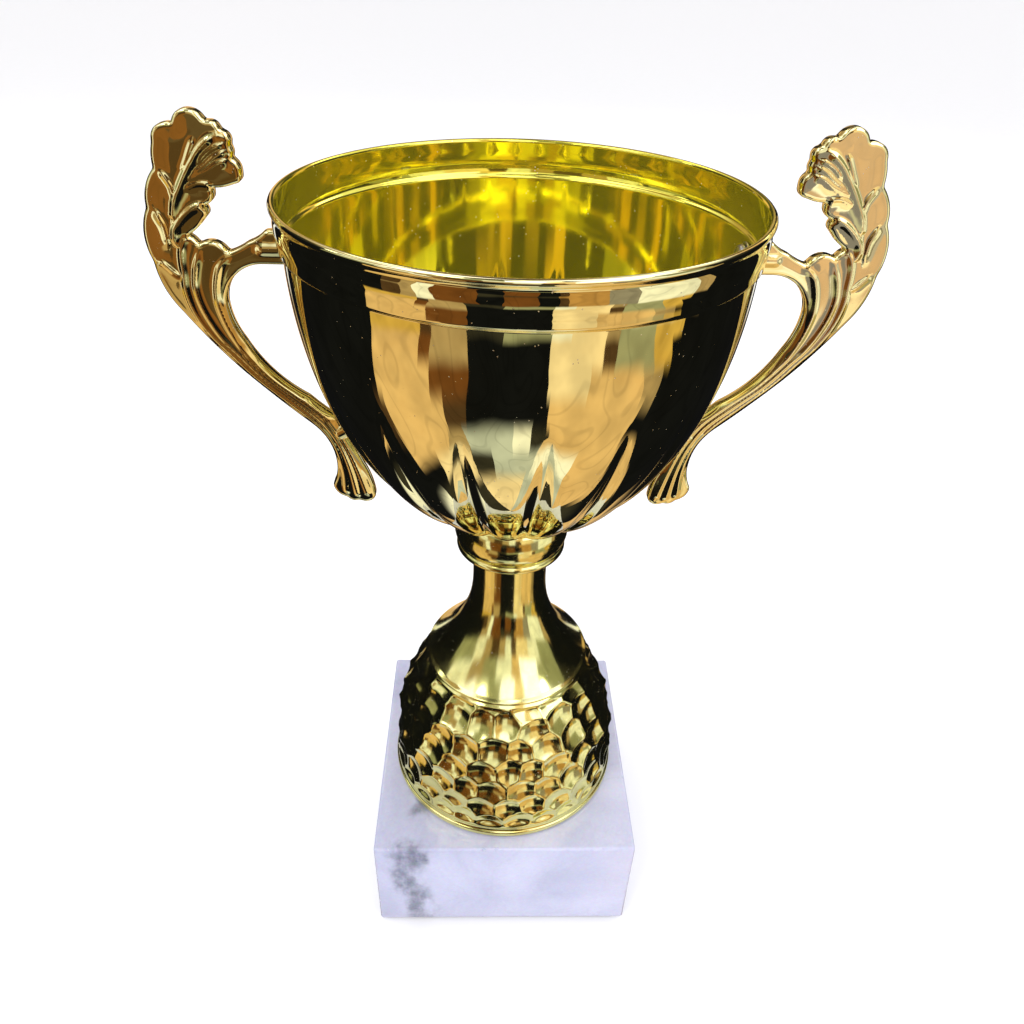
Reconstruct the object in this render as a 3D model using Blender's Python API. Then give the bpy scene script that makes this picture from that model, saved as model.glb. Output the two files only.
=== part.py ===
"""Cup trophy: a fluted metal bowl with two leaf handles, on a collar and a hammered riser.

One threaded tie rod runs from the nut under the marble block to the nut inside the bowl and clamps
the whole column. Metres, +Z up, origin on the rod's axis at the underside of the felt.
"""

import math

import bmesh
import bpy
from mathutils import Matrix, Vector

MM = 0.001
GAP = 0.3 * MM
FASTENER_GAP = 0.2 * MM

# Block
BASE_SIDE = 80 * MM
BASE_HEIGHT = 39 * MM
BASE_BEVEL = 0.9 * MM
FELT_SIDE = 76 * MM
FELT_THICKNESS = 1.0 * MM
COUNTERBORE_RADIUS = 11 * MM
COUNTERBORE_DEPTH = 14 * MM
BASE_HOLE_RADIUS = 4.5 * MM
MARBLE_BOTTOM = FELT_THICKNESS + GAP
MARBLE_TOP = MARBLE_BOTTOM + BASE_HEIGHT
COLUMN_FOOT = MARBLE_TOP + GAP

# Column, heights above its own foot
SHELL = 2.0 * MM
DOME_RADIUS = 35.5 * MM
DOME_CENTRE = 7 * MM
DOME_RISE = 51.6 * MM
CELLS_BOTTOM = 5.5 * MM
CELLS_TOP = 44 * MM
CELL_ROWS = 10
CELL_COLUMNS = 42
CELL_DEPTH = 1.1 * MM
FOOT_RING = ((33.0, 0), (34.8, 0), (35.7, 0.8), (36.0, 2.0), (35.8, 3.2), (35.2, 4.2))
BELL_EDGE = ((23.5, 45.4), (24.2, 46.4), (24.5, 47.2))
TRUMPET_EDGE = 48 * MM
NECK_RADIUS = 10.5 * MM
NECK_BOTTOM = 78 * MM
TRUMPET_SPREAD = 13.4 * MM
TRUMPET_POWER = 2.45
RISER_TOP = 97.6 * MM
TRUMPET_HEIGHTS = (48.2, 50, 52.5, 56, 60, 65, 71, 78)
TRUMPET_INNER_HEIGHTS = (68, 58, 51)
DOME_INNER_HEIGHTS = (42, 34, 24, 12)
COLLAR_BOTTOM = 87.2 * MM
COLLAR_TOP = 100 * MM
COLLAR_SOCKET_RADIUS = 11 * MM
COLLAR_OUTSIDE = (
    (14.9, 87.2), (15.5, 87.5), (15.8, 88.2), (15.5, 89.0), (15.1, 89.4), (15.3, 90.1),
    (15.7, 91.2), (15.9, 92.6), (15.7, 95.0), (15.2, 97.4), (14.4, 99.2), (13.4, 100.0),
)

# Bowl, heights above the column's foot
SHEET = 0.8 * MM
BOWL_FLOOR = COLLAR_TOP + GAP
BODY_RADIUS = 52 * MM
SHOULDER = 172.4 * MM
BODY_DEPTH = 74.9 * MM
RIM_TOP = 182.7 * MM
BEAD_RADIUS = 0.8 * MM
BEAD_CENTRE_RADIUS = 53.0 * MM
BEAD_DEGREES = (-70, -20, 30, 80, 130, 180)
BODY_STEPS = 10
SHOULDER_OUTSIDE = ((52.0, 172.3), (52.2, 172.9), (52.7, 173.5), (53.0, 174.4))
SHOULDER_INSIDE = ((52.2, 174.6), (51.8, 173.7), (51.3, 173.1), (51.2, 172.3))
FLUTES = 18
FLUTE_STEPS = 4
FLUTE_TOP = 150 * MM
FLUTE_FULL = 116 * MM
FLUTE_DEPTH = 1.6 * MM
FLUTE_FADE_START = 26 * MM
FLUTE_FADE_END = 12 * MM
FLUTE_PHASE = math.radians(-85)

# Hardware
ROD_RADIUS = 3.0 * MM
ROD_HOLE_RADIUS = 3.4 * MM
ROD_OVERHANG = 3.0 * MM
NUT_ACROSS_CORNERS = 11.55 * MM
NUT_HEIGHT = 5.0 * MM
NUT_CHAMFER = 0.5 * MM
ROD_CHAMFER = 0.6 * MM
LOCK_RADIUS = 5.2 * MM
LOCK_THICKNESS = 1.6 * MM
LOCK_OPENING = math.radians(10)
LOCK_STEPS = 22
PLATE_WASHER_RADIUS = 10 * MM
PLATE_WASHER_THICKNESS = 1.2 * MM
SCREW_RADIUS = 1.5 * MM
SCREW_LENGTH = 6.5 * MM
SCREW_HEAD_RADIUS = 2.9 * MM
SCREW_HEAD_HEIGHT = 1.7 * MM
RECESS_LENGTH = 3.2 * MM
RECESS_WIDTH = 0.7 * MM
SCREW_HEAD_CURVE = ((0, 1), (0.5, 0.95), (0.85, 0.7), (1, 0.3), (1, 0))
SCREW_HOLE_REACH = 4 * MM
WASHER_RADIUS = 3.5 * MM
WASHER_THICKNESS = 0.5 * MM
UPPER_SCREW_HEIGHT = 169.4 * MM
LOWER_SCREW_HEIGHT = 125 * MM

# Handle
PLATE_THICKNESS = 3.6 * MM
BORDER = 0.7 * MM
BORDER_HEIGHT = 0.45 * MM
UPPER_BOSS_RADIUS = 2.8 * MM
UPPER_BOSS_LENGTH = 5.8 * MM
LOWER_BOSS_RADIUS = 2.4 * MM
LOWER_BOSS_LENGTH = 6.8 * MM
SLIGHT_BULGE = 0.25 * MM

# Leaf outline, seen from the front with the bowl on its left, counter-clockwise.
# Each point holds its distance from the axis, its height above the column's foot, and how far the
# edge to the next point bulges outward. All in millimetres.
LEAF_OUTLINE = (
    # underside of the tab and inner edge of the stem
    (52.3, 165.9, 0.0), (57.8, 165.9, -2.6), (67.1, 157.0, -0.7), (64.4, 147.3, -1.5),
    (51.2, 132.6, -0.2), (44.8, 127.0, 0.0), (39.3, 113.2, 0.5),
    # fluted tail
    (36.6, 103.6, 1.2), (41.0, 102.1, 0.7), (44.2, 103.0, 1.0), (47.7, 107.2, -0.6),
    # outer edge of the stem
    (46.2, 114.6, -1.2), (51.4, 125.4, 0.2), (65.5, 139.0, 0.4),
    # outer lobes
    (77.6, 154.4, 1.0), (81.9, 166.2, 1.3), (81.0, 177.8, 0.9), (77.8, 185.9, 0.3),
    # crown
    (77.0, 191.2, 0.9), (74.2, 194.7, 0.2), (72.3, 194.7, 2.6), (65.5, 195.3, 0.9),
    (62.6, 193.6, 1.0), (61.1, 190.6, 0.5), (61.1, 188.3, 0.6), (59.6, 185.2, 0.7),
    # inner lobes and shoulder
    (61.3, 183.1, 0.3), (66.2, 182.2, 1.1), (68.5, 178.6, 0.8), (68.7, 175.9, 0.3),
    (73.1, 172.0, 0.3), (71.2, 170.1, 1.5), (65.1, 168.5, -0.3), (56.5, 173.3, 0.2),
    (53.1, 173.2, 0.0),
)


def clear_scene():
    for obj in list(bpy.data.objects):
        bpy.data.objects.remove(obj, do_unlink=True)


def material(name, colour, roughness, metallic):
    mat = bpy.data.materials.new(name)
    mat.use_nodes = True
    shader = mat.node_tree.nodes["Principled BSDF"]
    shader.inputs["Base Color"].default_value = (*colour, 1.0)
    shader.inputs["Roughness"].default_value = roughness
    shader.inputs["Metallic"].default_value = metallic
    return mat


def object_from_mesh(name, mesh, mat, parent=None, matrix=None):
    obj = bpy.data.objects.new(name, mesh)
    bpy.context.scene.collection.objects.link(obj)
    if not mesh.materials:
        mesh.materials.append(mat)
    obj.parent = parent
    obj.matrix_world = Matrix() if matrix is None else matrix
    return obj


def finish_mesh(bm, name, sharp_angle=35):
    """A mesh datablock with outward normals, smooth faces and sharp creases."""
    bmesh.ops.recalc_face_normals(bm, faces=bm.faces)
    mesh = bpy.data.meshes.new(name)
    bm.to_mesh(mesh)
    bm.free()
    mesh.shade_smooth()
    mesh.set_sharp_from_angle(angle=math.radians(sharp_angle))
    return mesh


def as_cutter(obj):
    obj.hide_render = True
    obj.display_type = "WIRE"
    return obj


def boolean(obj, other, operation="DIFFERENCE"):
    modifier = obj.modifiers.new(other.name, "BOOLEAN")
    modifier.operation = operation
    modifier.solver = "EXACT"
    modifier.object = other


def baked_mesh(obj):
    """The object's mesh with its modifiers applied; the object itself is removed."""
    bpy.context.view_layer.update()
    graph = bpy.context.evaluated_depsgraph_get()
    mesh = bpy.data.meshes.new_from_object(obj.evaluated_get(graph))
    bpy.data.objects.remove(obj, do_unlink=True)
    return mesh


def in_metres(points):
    return [tuple(value * MM for value in point) for point in points]


def ring(radius, height, steps, turn=0.0):
    """Points of one horizontal circle."""
    points = []
    for i in range(steps):
        angle = 2 * math.pi * (i + turn) / steps
        points.append(Vector((radius * math.cos(angle), radius * math.sin(angle), height)))
    return points


def turned_mesh(name, profile, steps, sharp_angle=35):
    """A solid of revolution about Z from a (radius, height) profile.

    A profile that starts and ends on the axis is closed by its poles; any other is a closed loop.
    """
    bm = bmesh.new()
    loops = []
    for radius, height in profile:
        if radius == 0:
            loops.append([bm.verts.new((0, 0, height))] * steps)
        else:
            loops.append([bm.verts.new(point) for point in ring(radius, height, steps)])
    pairs = list(zip(loops, loops[1:]))
    if profile[0][0] != 0:
        pairs.append((loops[-1], loops[0]))
    for low, high in pairs:
        for i in range(steps):
            j = (i + 1) % steps
            corners = [low[i], low[j], high[j], high[i]]
            bm.faces.new(list(dict.fromkeys(corners)))
    return finish_mesh(bm, name, sharp_angle)


def cylinder_mesh(name, radius, low, high, steps=24):
    return turned_mesh(name, [(0, low), (radius, low), (radius, high), (0, high)], steps)


def box_mesh(name, size_x, size_y, low, high):
    bm = bmesh.new()
    scale = Matrix.Diagonal((size_x, size_y, high - low, 1))
    place = Matrix.Translation((0, 0, (low + high) / 2))
    bmesh.ops.create_cube(bm, size=1, matrix=place @ scale)
    return finish_mesh(bm, name)


# ---------------------------------------------------------------------------------------- block


def make_marble_base(mat):
    mesh = box_mesh("marble_base", BASE_SIDE, BASE_SIDE, MARBLE_BOTTOM, MARBLE_TOP)
    base = object_from_mesh("marble_base", mesh, mat)
    bevel = base.modifiers.new("edges", "BEVEL")
    bevel.width = BASE_BEVEL
    bevel.segments = 3
    clear = 2 * MM
    profile = [
        (0, MARBLE_BOTTOM - clear),
        (COUNTERBORE_RADIUS, MARBLE_BOTTOM - clear),
        (COUNTERBORE_RADIUS, MARBLE_BOTTOM + COUNTERBORE_DEPTH),
        (BASE_HOLE_RADIUS, MARBLE_BOTTOM + COUNTERBORE_DEPTH),
        (BASE_HOLE_RADIUS, MARBLE_TOP + clear),
        (0, MARBLE_TOP + clear),
    ]
    hole = object_from_mesh("rod_hole", turned_mesh("rod_hole", profile, 32), mat)
    boolean(base, as_cutter(hole))


def make_base_felt(mat):
    mesh = box_mesh("base_felt", FELT_SIDE, FELT_SIDE, 0, FELT_THICKNESS)
    object_from_mesh("base_felt", mesh, mat)


# ---------------------------------------------------------------------------------------- riser


def dome_radius(height):
    """Radius of the hammered skirt, a quarter ellipse."""
    return DOME_RADIUS * math.sqrt(1 - ((height - DOME_CENTRE) / DOME_RISE) ** 2)


def trumpet_radius(height):
    """Radius of the smooth flare that opens downward from the neck."""
    share = max(0.0, (NECK_BOTTOM - height) / (NECK_BOTTOM - TRUMPET_EDGE))
    return NECK_RADIUS + TRUMPET_SPREAD * share**TRUMPET_POWER


def cell_ring(bm, row):
    """One staggered row of the honeycomb. Every third point is the sunken middle of a cell."""
    height = CELLS_BOTTOM + (CELLS_TOP - CELLS_BOTTOM) * row / (CELL_ROWS - 1)
    odd = row % 2
    verts = []
    for i in range(CELL_COLUMNS):
        sunken = (i - (row - odd) // 2 - row) % 3 == 0
        radius = dome_radius(height) - (CELL_DEPTH if sunken else 0)
        angle = 2 * math.pi * (i + odd / 2) / CELL_COLUMNS
        verts.append(bm.verts.new((radius * math.cos(angle), radius * math.sin(angle), height)))
    return verts


def riser_plain_rings():
    """(radius, height) of the rings above the honeycomb, over the top and down the inside."""
    outside = in_metres(BELL_EDGE)
    for height in TRUMPET_HEIGHTS:
        outside.append((trumpet_radius(height * MM), height * MM))
    top = [
        (NECK_RADIUS, RISER_TOP),
        (ROD_HOLE_RADIUS, RISER_TOP),
        (ROD_HOLE_RADIUS, RISER_TOP - SHELL),
        (NECK_RADIUS - SHELL, RISER_TOP - SHELL),
    ]
    inside = [(NECK_RADIUS - SHELL, NECK_BOTTOM)]
    for height in TRUMPET_INNER_HEIGHTS:
        inside.append((trumpet_radius(height * MM) - SHELL, height * MM - SHELL))
    for height in DOME_INNER_HEIGHTS:
        inside.append((dome_radius(height * MM) - CELL_DEPTH - SHELL, height * MM))
    return outside + top + inside


def make_riser(mat, parent):
    bm = bmesh.new()
    loops = []
    for radius, height in in_metres(FOOT_RING):
        loops.append([bm.verts.new(point) for point in ring(radius, height, CELL_COLUMNS)])
    first_cells = len(loops)
    loops += [cell_ring(bm, row) for row in range(CELL_ROWS)]
    last_turn = ((CELL_ROWS - 1) % 2) / 2
    for radius, height in riser_plain_rings():
        points = ring(radius, height, CELL_COLUMNS, last_turn)
        loops.append([bm.verts.new(point) for point in points])
    for index, low in enumerate(loops):
        high = loops[(index + 1) % len(loops)]
        row = index - first_cells
        for i in range(CELL_COLUMNS):
            j = (i + 1) % CELL_COLUMNS
            if not 0 <= row < CELL_ROWS - 1:
                bm.faces.new((low[i], low[j], high[j], high[i]))
            elif row % 2:
                bm.faces.new((low[i], high[j], high[i]))
                bm.faces.new((low[i], low[j], high[j]))
            else:
                bm.faces.new((low[i], low[j], high[i]))
                bm.faces.new((low[j], high[j], high[i]))
    mesh = finish_mesh(bm, "riser", 50)
    object_from_mesh("riser", mesh, mat, parent, Matrix.Translation((0, 0, COLUMN_FOOT)))


def make_stem_collar(mat, parent):
    profile = in_metres(COLLAR_OUTSIDE) + [
        (ROD_HOLE_RADIUS, COLLAR_TOP),
        (ROD_HOLE_RADIUS, RISER_TOP + GAP),
        (COLLAR_SOCKET_RADIUS, RISER_TOP + GAP),
        (COLLAR_SOCKET_RADIUS, COLLAR_BOTTOM),
    ]
    mesh = turned_mesh("stem_collar", profile, 36)
    object_from_mesh("stem_collar", mesh, mat, parent, Matrix.Translation((0, 0, COLUMN_FOOT)))


# ----------------------------------------------------------------------------------------- bowl


def body_point(turn, inset=0.0):
    """(radius, height) on the bowl's elliptical body; turn runs from 0 at the shoulder downward."""
    normal = Vector((BODY_DEPTH * math.cos(turn), -BODY_RADIUS * math.sin(turn))).normalized()
    point = Vector((BODY_RADIUS * math.cos(turn), SHOULDER - BODY_DEPTH * math.sin(turn)))
    return tuple(point - normal * inset)


def body_turn(height):
    return math.asin((SHOULDER - height) / BODY_DEPTH)


def bowl_profile():
    """Closed (radius, height) loop of the sheet: up the outside, over the bead, down the inside."""
    floor_turn = body_turn(BOWL_FLOOR)
    turns = [floor_turn * (1 - step / BODY_STEPS) for step in range(BODY_STEPS)]
    outside = [(ROD_HOLE_RADIUS, BOWL_FLOOR)] + [body_point(turn) for turn in turns]
    outside += in_metres(SHOULDER_OUTSIDE)
    bead = []
    for degrees in BEAD_DEGREES:
        angle = math.radians(degrees)
        radius = BEAD_CENTRE_RADIUS + BEAD_RADIUS * math.cos(angle)
        bead.append((radius, RIM_TOP - BEAD_RADIUS + BEAD_RADIUS * math.sin(angle)))
    inside = in_metres(SHOULDER_INSIDE)
    inside += [body_point(turn, SHEET) for turn in reversed(turns[1:])]
    corner = BODY_RADIUS * math.cos(body_turn(BOWL_FLOOR + SHEET)) - SHEET
    inside += [(corner, BOWL_FLOOR + SHEET), (ROD_HOLE_RADIUS, BOWL_FLOOR + SHEET)]
    return outside + bead + inside


def flute_depth(radius, height):
    """Depth of the grooves between the lobes: none above the flutes, tapering into the floor."""
    share = min(1.0, max(0.0, (FLUTE_TOP - height) / (FLUTE_TOP - FLUTE_FULL)))
    fade_in = share * share * (3 - 2 * share)
    fade_out = (radius - FLUTE_FADE_END) / (FLUTE_FADE_START - FLUTE_FADE_END)
    return FLUTE_DEPTH * fade_in * min(1.0, max(0.0, fade_out))


def fluted_radius(radius, height, angle):
    crest = abs(math.sin(FLUTES * (angle - FLUTE_PHASE) / 2))
    return radius - flute_depth(radius, height) * (1 - crest)


def make_bowl(mat, parent):
    steps = FLUTES * FLUTE_STEPS
    bm = bmesh.new()
    loops = []
    for radius, height in bowl_profile():
        loop = []
        for i in range(steps):
            angle = FLUTE_PHASE + 2 * math.pi * i / steps
            r = fluted_radius(radius, height, angle)
            loop.append(bm.verts.new((r * math.cos(angle), r * math.sin(angle), height)))
        loops.append(loop)
    for index, low in enumerate(loops):
        high = loops[(index + 1) % len(loops)]
        for i in range(steps):
            j = (i + 1) % steps
            bm.faces.new((low[i], low[j], high[j], high[i]))
    mesh = finish_mesh(bm, "bowl", 45)
    bowl = object_from_mesh("bowl", mesh, mat, parent, Matrix.Translation((0, 0, COLUMN_FOOT)))
    hole_radius = SCREW_RADIUS + GAP
    hole_mesh = cylinder_mesh("screw_hole", hole_radius, -SCREW_HOLE_REACH, SCREW_HOLE_REACH, 16)
    for name, _, place in screw_places():
        hole = object_from_mesh("screw_hole_" + name, hole_mesh, mat, parent, place)
        boolean(bowl, as_cutter(hole))


# -------------------------------------------------------------------------------------- handles


def wall_frame(height):
    """Matrix of a screw through the bowl's +X wall: +Z along the outward normal, origin outside it."""
    turn = body_turn(height)
    radius, level = body_point(turn)
    normal = Vector((BODY_DEPTH * math.cos(turn), 0, -BODY_RADIUS * math.sin(turn))).normalized()
    turned = Vector((0, 0, 1)).rotation_difference(normal).to_matrix().to_4x4()
    return Matrix.Translation((radius, 0, COLUMN_FOOT + level)) @ turned


def screw_places():
    """(name, height above the column's foot, world matrix) of each screw's place on the wall."""
    places = []
    for side, angle in (("right", 0), ("left", math.pi)):
        for level, height in (("upper", UPPER_SCREW_HEIGHT), ("lower", LOWER_SCREW_HEIGHT)):
            turned = Matrix.Rotation(angle, 4, "Z") @ wall_frame(height)
            places.append((f"{side}_{level}", height, turned))
    return places


def arc_points(start, end, bulge, steps=5):
    """Points from start up to, but not including, end, along an arc that bulges to the right."""
    if abs(bulge) < SLIGHT_BULGE:
        return [start]
    chord = end - start
    half = chord.length / 2
    radius = (half**2 + bulge**2) / (2 * abs(bulge))
    side = Vector((chord.y, -chord.x)).normalized() * (1 if bulge > 0 else -1)
    centre = (start + end) / 2 - side * (radius - abs(bulge))
    sweep = 2 * math.asin(min(1.0, half / radius))
    if abs(bulge) > half:
        sweep = 2 * math.pi - sweep
    sign = 1 if bulge > 0 else -1
    arm = start - centre
    points = []
    for step in range(steps):
        angle = sign * sweep * step / steps
        turned = Vector((
            arm.x * math.cos(angle) - arm.y * math.sin(angle),
            arm.x * math.sin(angle) + arm.y * math.cos(angle),
        ))
        points.append(centre + turned)
    return points


def leaf_outline():
    corners = [(Vector((x * MM, z * MM)), bulge * MM) for x, z, bulge in LEAF_OUTLINE]
    points = []
    for (start, bulge), (end, _) in zip(corners, corners[1:] + corners[:1]):
        points += arc_points(start, end, bulge)
    return points


def leaf_plate():
    """The flat leaf with a raised border on both faces."""
    bm = bmesh.new()
    half = PLATE_THICKNESS / 2
    front = [bm.verts.new((p.x, -half, COLUMN_FOOT + p.y)) for p in leaf_outline()]
    face = bm.faces.new(front)
    extruded = bmesh.ops.extrude_face_region(bm, geom=[face])["geom"]
    back = [item for item in extruded if isinstance(item, bmesh.types.BMVert)]
    bmesh.ops.translate(bm, verts=back, vec=(0, PLATE_THICKNESS, 0))
    bmesh.ops.recalc_face_normals(bm, faces=bm.faces)
    sides = [f for f in bm.faces if len(f.verts) > 4]
    bmesh.ops.inset_individual(bm, faces=sides, thickness=BORDER, depth=-BORDER_HEIGHT)
    return finish_mesh(bm, "leaf_plate")


def handle_mesh(mat):
    """Leaf plate with its two screw bosses and their blind bores, at +X."""
    handle = object_from_mesh("handle_blank", leaf_plate(), mat)
    helpers = []
    bosses = (
        (UPPER_SCREW_HEIGHT, UPPER_BOSS_RADIUS, UPPER_BOSS_LENGTH),
        (LOWER_SCREW_HEIGHT, LOWER_BOSS_RADIUS, LOWER_BOSS_LENGTH),
    )
    for height, radius, length in bosses:
        mesh = cylinder_mesh("boss", radius, GAP, length, 20)
        boss = object_from_mesh("boss", mesh, mat, None, wall_frame(height))
        boolean(handle, as_cutter(boss), "UNION")
        helpers.append(boss)
    for height, _, _ in bosses:
        bore_radius = SCREW_RADIUS + FASTENER_GAP
        mesh = cylinder_mesh("bore", bore_radius, -MM, SCREW_LENGTH - SHEET - GAP, 16)
        bore = object_from_mesh("bore", mesh, mat, None, wall_frame(height))
        boolean(handle, as_cutter(bore))
        helpers.append(bore)
    mesh = baked_mesh(handle)
    for helper in helpers:
        bpy.data.objects.remove(helper, do_unlink=True)
    mesh.name = "leaf_handle"
    return mesh


def make_handles(mat, parent):
    mesh = handle_mesh(mat)
    object_from_mesh("handle_right", mesh, mat, parent)
    half_turn = Matrix.Rotation(math.pi, 4, "Z")
    object_from_mesh("handle_left", mesh, mat, parent, half_turn)


def screw_mesh(mat):
    """Pan-head screw along +Z with its head's seat at 0 and a cross recess."""
    profile = [(r * SCREW_HEAD_RADIUS, -h * SCREW_HEAD_HEIGHT) for r, h in SCREW_HEAD_CURVE]
    profile += [
        (SCREW_RADIUS, 0),
        (SCREW_RADIUS, SCREW_LENGTH - SCREW_RADIUS),
        (0.3 * SCREW_RADIUS, SCREW_LENGTH),
        (0, SCREW_LENGTH),
    ]
    screw = object_from_mesh("screw_blank", turned_mesh("screw", profile, 16), mat)
    recess = []
    for size_x, size_y in ((RECESS_LENGTH, RECESS_WIDTH), (RECESS_WIDTH, RECESS_LENGTH)):
        mesh = box_mesh("recess", size_x, size_y, -2 * SCREW_HEAD_HEIGHT, -0.4 * SCREW_HEAD_HEIGHT)
        cutter = as_cutter(object_from_mesh("recess", mesh, mat))
        boolean(screw, cutter)
        recess.append(cutter)
    mesh = baked_mesh(screw)
    for cutter in recess:
        bpy.data.objects.remove(cutter, do_unlink=True)
    return mesh


def washer_mesh(name, radius, hole, thickness, steps=24):
    profile = [(hole, 0), (radius, 0), (radius, thickness), (hole, thickness)]
    return turned_mesh(name, profile, steps)


def washer_inset(height):
    """Depth of a washer's back below the wall's outside, clear of the grooves' inner ridges."""
    radius, level = body_point(body_turn(height - WASHER_RADIUS))
    return SHEET + flute_depth(radius, level) + GAP + WASHER_THICKNESS


def make_handle_screws(mat, parent):
    """A screw and a flat washer at each boss, both inside the bowl."""
    screw = screw_mesh(mat)
    hole = SCREW_RADIUS + FASTENER_GAP
    washer = washer_mesh("handle_washer", WASHER_RADIUS, hole, WASHER_THICKNESS, 16)
    for name, height, place in screw_places():
        inset = washer_inset(height)
        washer_place = place @ Matrix.Translation((0, 0, -inset))
        screw_place = place @ Matrix.Translation((0, 0, -inset - FASTENER_GAP))
        object_from_mesh("handle_washer_" + name, washer, mat, parent, washer_place)
        object_from_mesh("handle_screw_" + name, screw, mat, parent, screw_place)


# --------------------------------------------------------------------------------------- tie rod


def nut_mesh(mat):
    corner = NUT_ACROSS_CORNERS / 2
    profile = [
        (0, 0), (corner - NUT_CHAMFER, 0), (corner, NUT_CHAMFER), (corner, NUT_HEIGHT - NUT_CHAMFER),
        (corner - NUT_CHAMFER, NUT_HEIGHT), (0, NUT_HEIGHT),
    ]
    nut = object_from_mesh("nut_blank", turned_mesh("nut", profile, 6), mat)
    bore_radius = ROD_RADIUS + FASTENER_GAP
    bore = object_from_mesh("bore", cylinder_mesh("bore", bore_radius, -MM, NUT_HEIGHT + MM), mat)
    boolean(nut, as_cutter(bore))
    mesh = baked_mesh(nut)
    bpy.data.objects.remove(bore, do_unlink=True)
    return mesh


def lock_washer_mesh():
    """A split spring washer: a square wire round most of a circle, its ends capped."""
    hole = ROD_RADIUS + FASTENER_GAP
    corners = ((hole, 0), (LOCK_RADIUS, 0), (LOCK_RADIUS, LOCK_THICKNESS), (hole, LOCK_THICKNESS))
    bm = bmesh.new()
    sections = []
    for step in range(LOCK_STEPS + 1):
        angle = LOCK_OPENING / 2 + (2 * math.pi - LOCK_OPENING) * step / LOCK_STEPS
        sections.append([
            bm.verts.new((r * math.cos(angle), r * math.sin(angle), z)) for r, z in corners
        ])
    for near, far in zip(sections, sections[1:]):
        for k in range(4):
            bm.faces.new((near[k], near[(k + 1) % 4], far[(k + 1) % 4], far[k]))
    bm.faces.new(sections[0])
    bm.faces.new(sections[-1])
    return finish_mesh(bm, "lock_washer")


def stack_heights():
    """Underside height of every clamp piece, named by object."""
    seat = MARBLE_BOTTOM + COUNTERBORE_DEPTH
    base_washer = seat - GAP - PLATE_WASHER_THICKNESS
    base_lock = base_washer - FASTENER_GAP - LOCK_THICKNESS
    base_nut = base_lock - FASTENER_GAP - NUT_HEIGHT
    bowl_washer = COLUMN_FOOT + BOWL_FLOOR + SHEET + GAP
    bowl_lock = bowl_washer + PLATE_WASHER_THICKNESS + FASTENER_GAP
    bowl_nut = bowl_lock + LOCK_THICKNESS + FASTENER_GAP
    return {
        "base_washer": base_washer, "base_lock_washer": base_lock, "base_nut": base_nut,
        "bowl_washer": bowl_washer, "bowl_lock_washer": bowl_lock, "bowl_nut": bowl_nut,
    }


def make_clamp(mat):
    heights = stack_heights()
    hole = ROD_RADIUS + FASTENER_GAP
    meshes = {
        "washer": washer_mesh("plate_washer", PLATE_WASHER_RADIUS, hole, PLATE_WASHER_THICKNESS),
        "lock_washer": lock_washer_mesh(),
        "nut": nut_mesh(mat),
    }
    for name, height in heights.items():
        mesh = meshes[name.split("_", 1)[1]]
        object_from_mesh(name, mesh, mat, None, Matrix.Translation((0, 0, height)))
    low = heights["base_nut"] - ROD_OVERHANG
    high = heights["bowl_nut"] + NUT_HEIGHT + ROD_OVERHANG
    profile = [
        (0, low), (ROD_RADIUS - ROD_CHAMFER, low), (ROD_RADIUS, low + ROD_CHAMFER),
        (ROD_RADIUS, high - ROD_CHAMFER), (ROD_RADIUS - ROD_CHAMFER, high), (0, high),
    ]
    object_from_mesh("tie_rod", turned_mesh("tie_rod", profile, 24), mat)


def turning_empty(name, height):
    """An empty on the rod's axis, where the pieces under it turn."""
    empty = bpy.data.objects.new(name, None)
    bpy.context.scene.collection.objects.link(empty)
    empty.location = (0, 0, height)
    bpy.context.view_layer.update()
    return empty


def main():
    clear_scene()
    marble = material("white_marble", (0.80, 0.80, 0.84), 0.15, 0.0)
    felt = material("green_felt", (0.02, 0.09, 0.05), 0.95, 0.0)
    gold_sheet = material("gold_plated_sheet", (0.90, 0.70, 0.24), 0.06, 1.0)
    gold_plastic = material("gold_plated_plastic", (0.86, 0.66, 0.24), 0.10, 1.0)
    zinc = material("zinc_plated_steel", (0.62, 0.62, 0.60), 0.35, 1.0)

    riser_turn = turning_empty("riser_turn", COLUMN_FOOT)
    cup_turn = turning_empty("cup_turn", COLUMN_FOOT + BOWL_FLOOR)

    make_marble_base(marble)
    make_base_felt(felt)
    make_riser(gold_plastic, riser_turn)
    make_stem_collar(gold_plastic, riser_turn)
    make_bowl(gold_sheet, cup_turn)
    make_handles(gold_plastic, cup_turn)
    make_handle_screws(zinc, cup_turn)
    make_clamp(zinc)


main()
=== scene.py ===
"""The looks of the cup trophy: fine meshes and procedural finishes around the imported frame.

Lengths are in millimetres until a mesh is made. Heights of the column's pieces are above the
underside of the riser, as in the design.
"""

import math

import bmesh
import bpy
import numpy as np
from mathutils import Matrix, Vector
from mathutils.geometry import delaunay_2d_cdt


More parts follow.
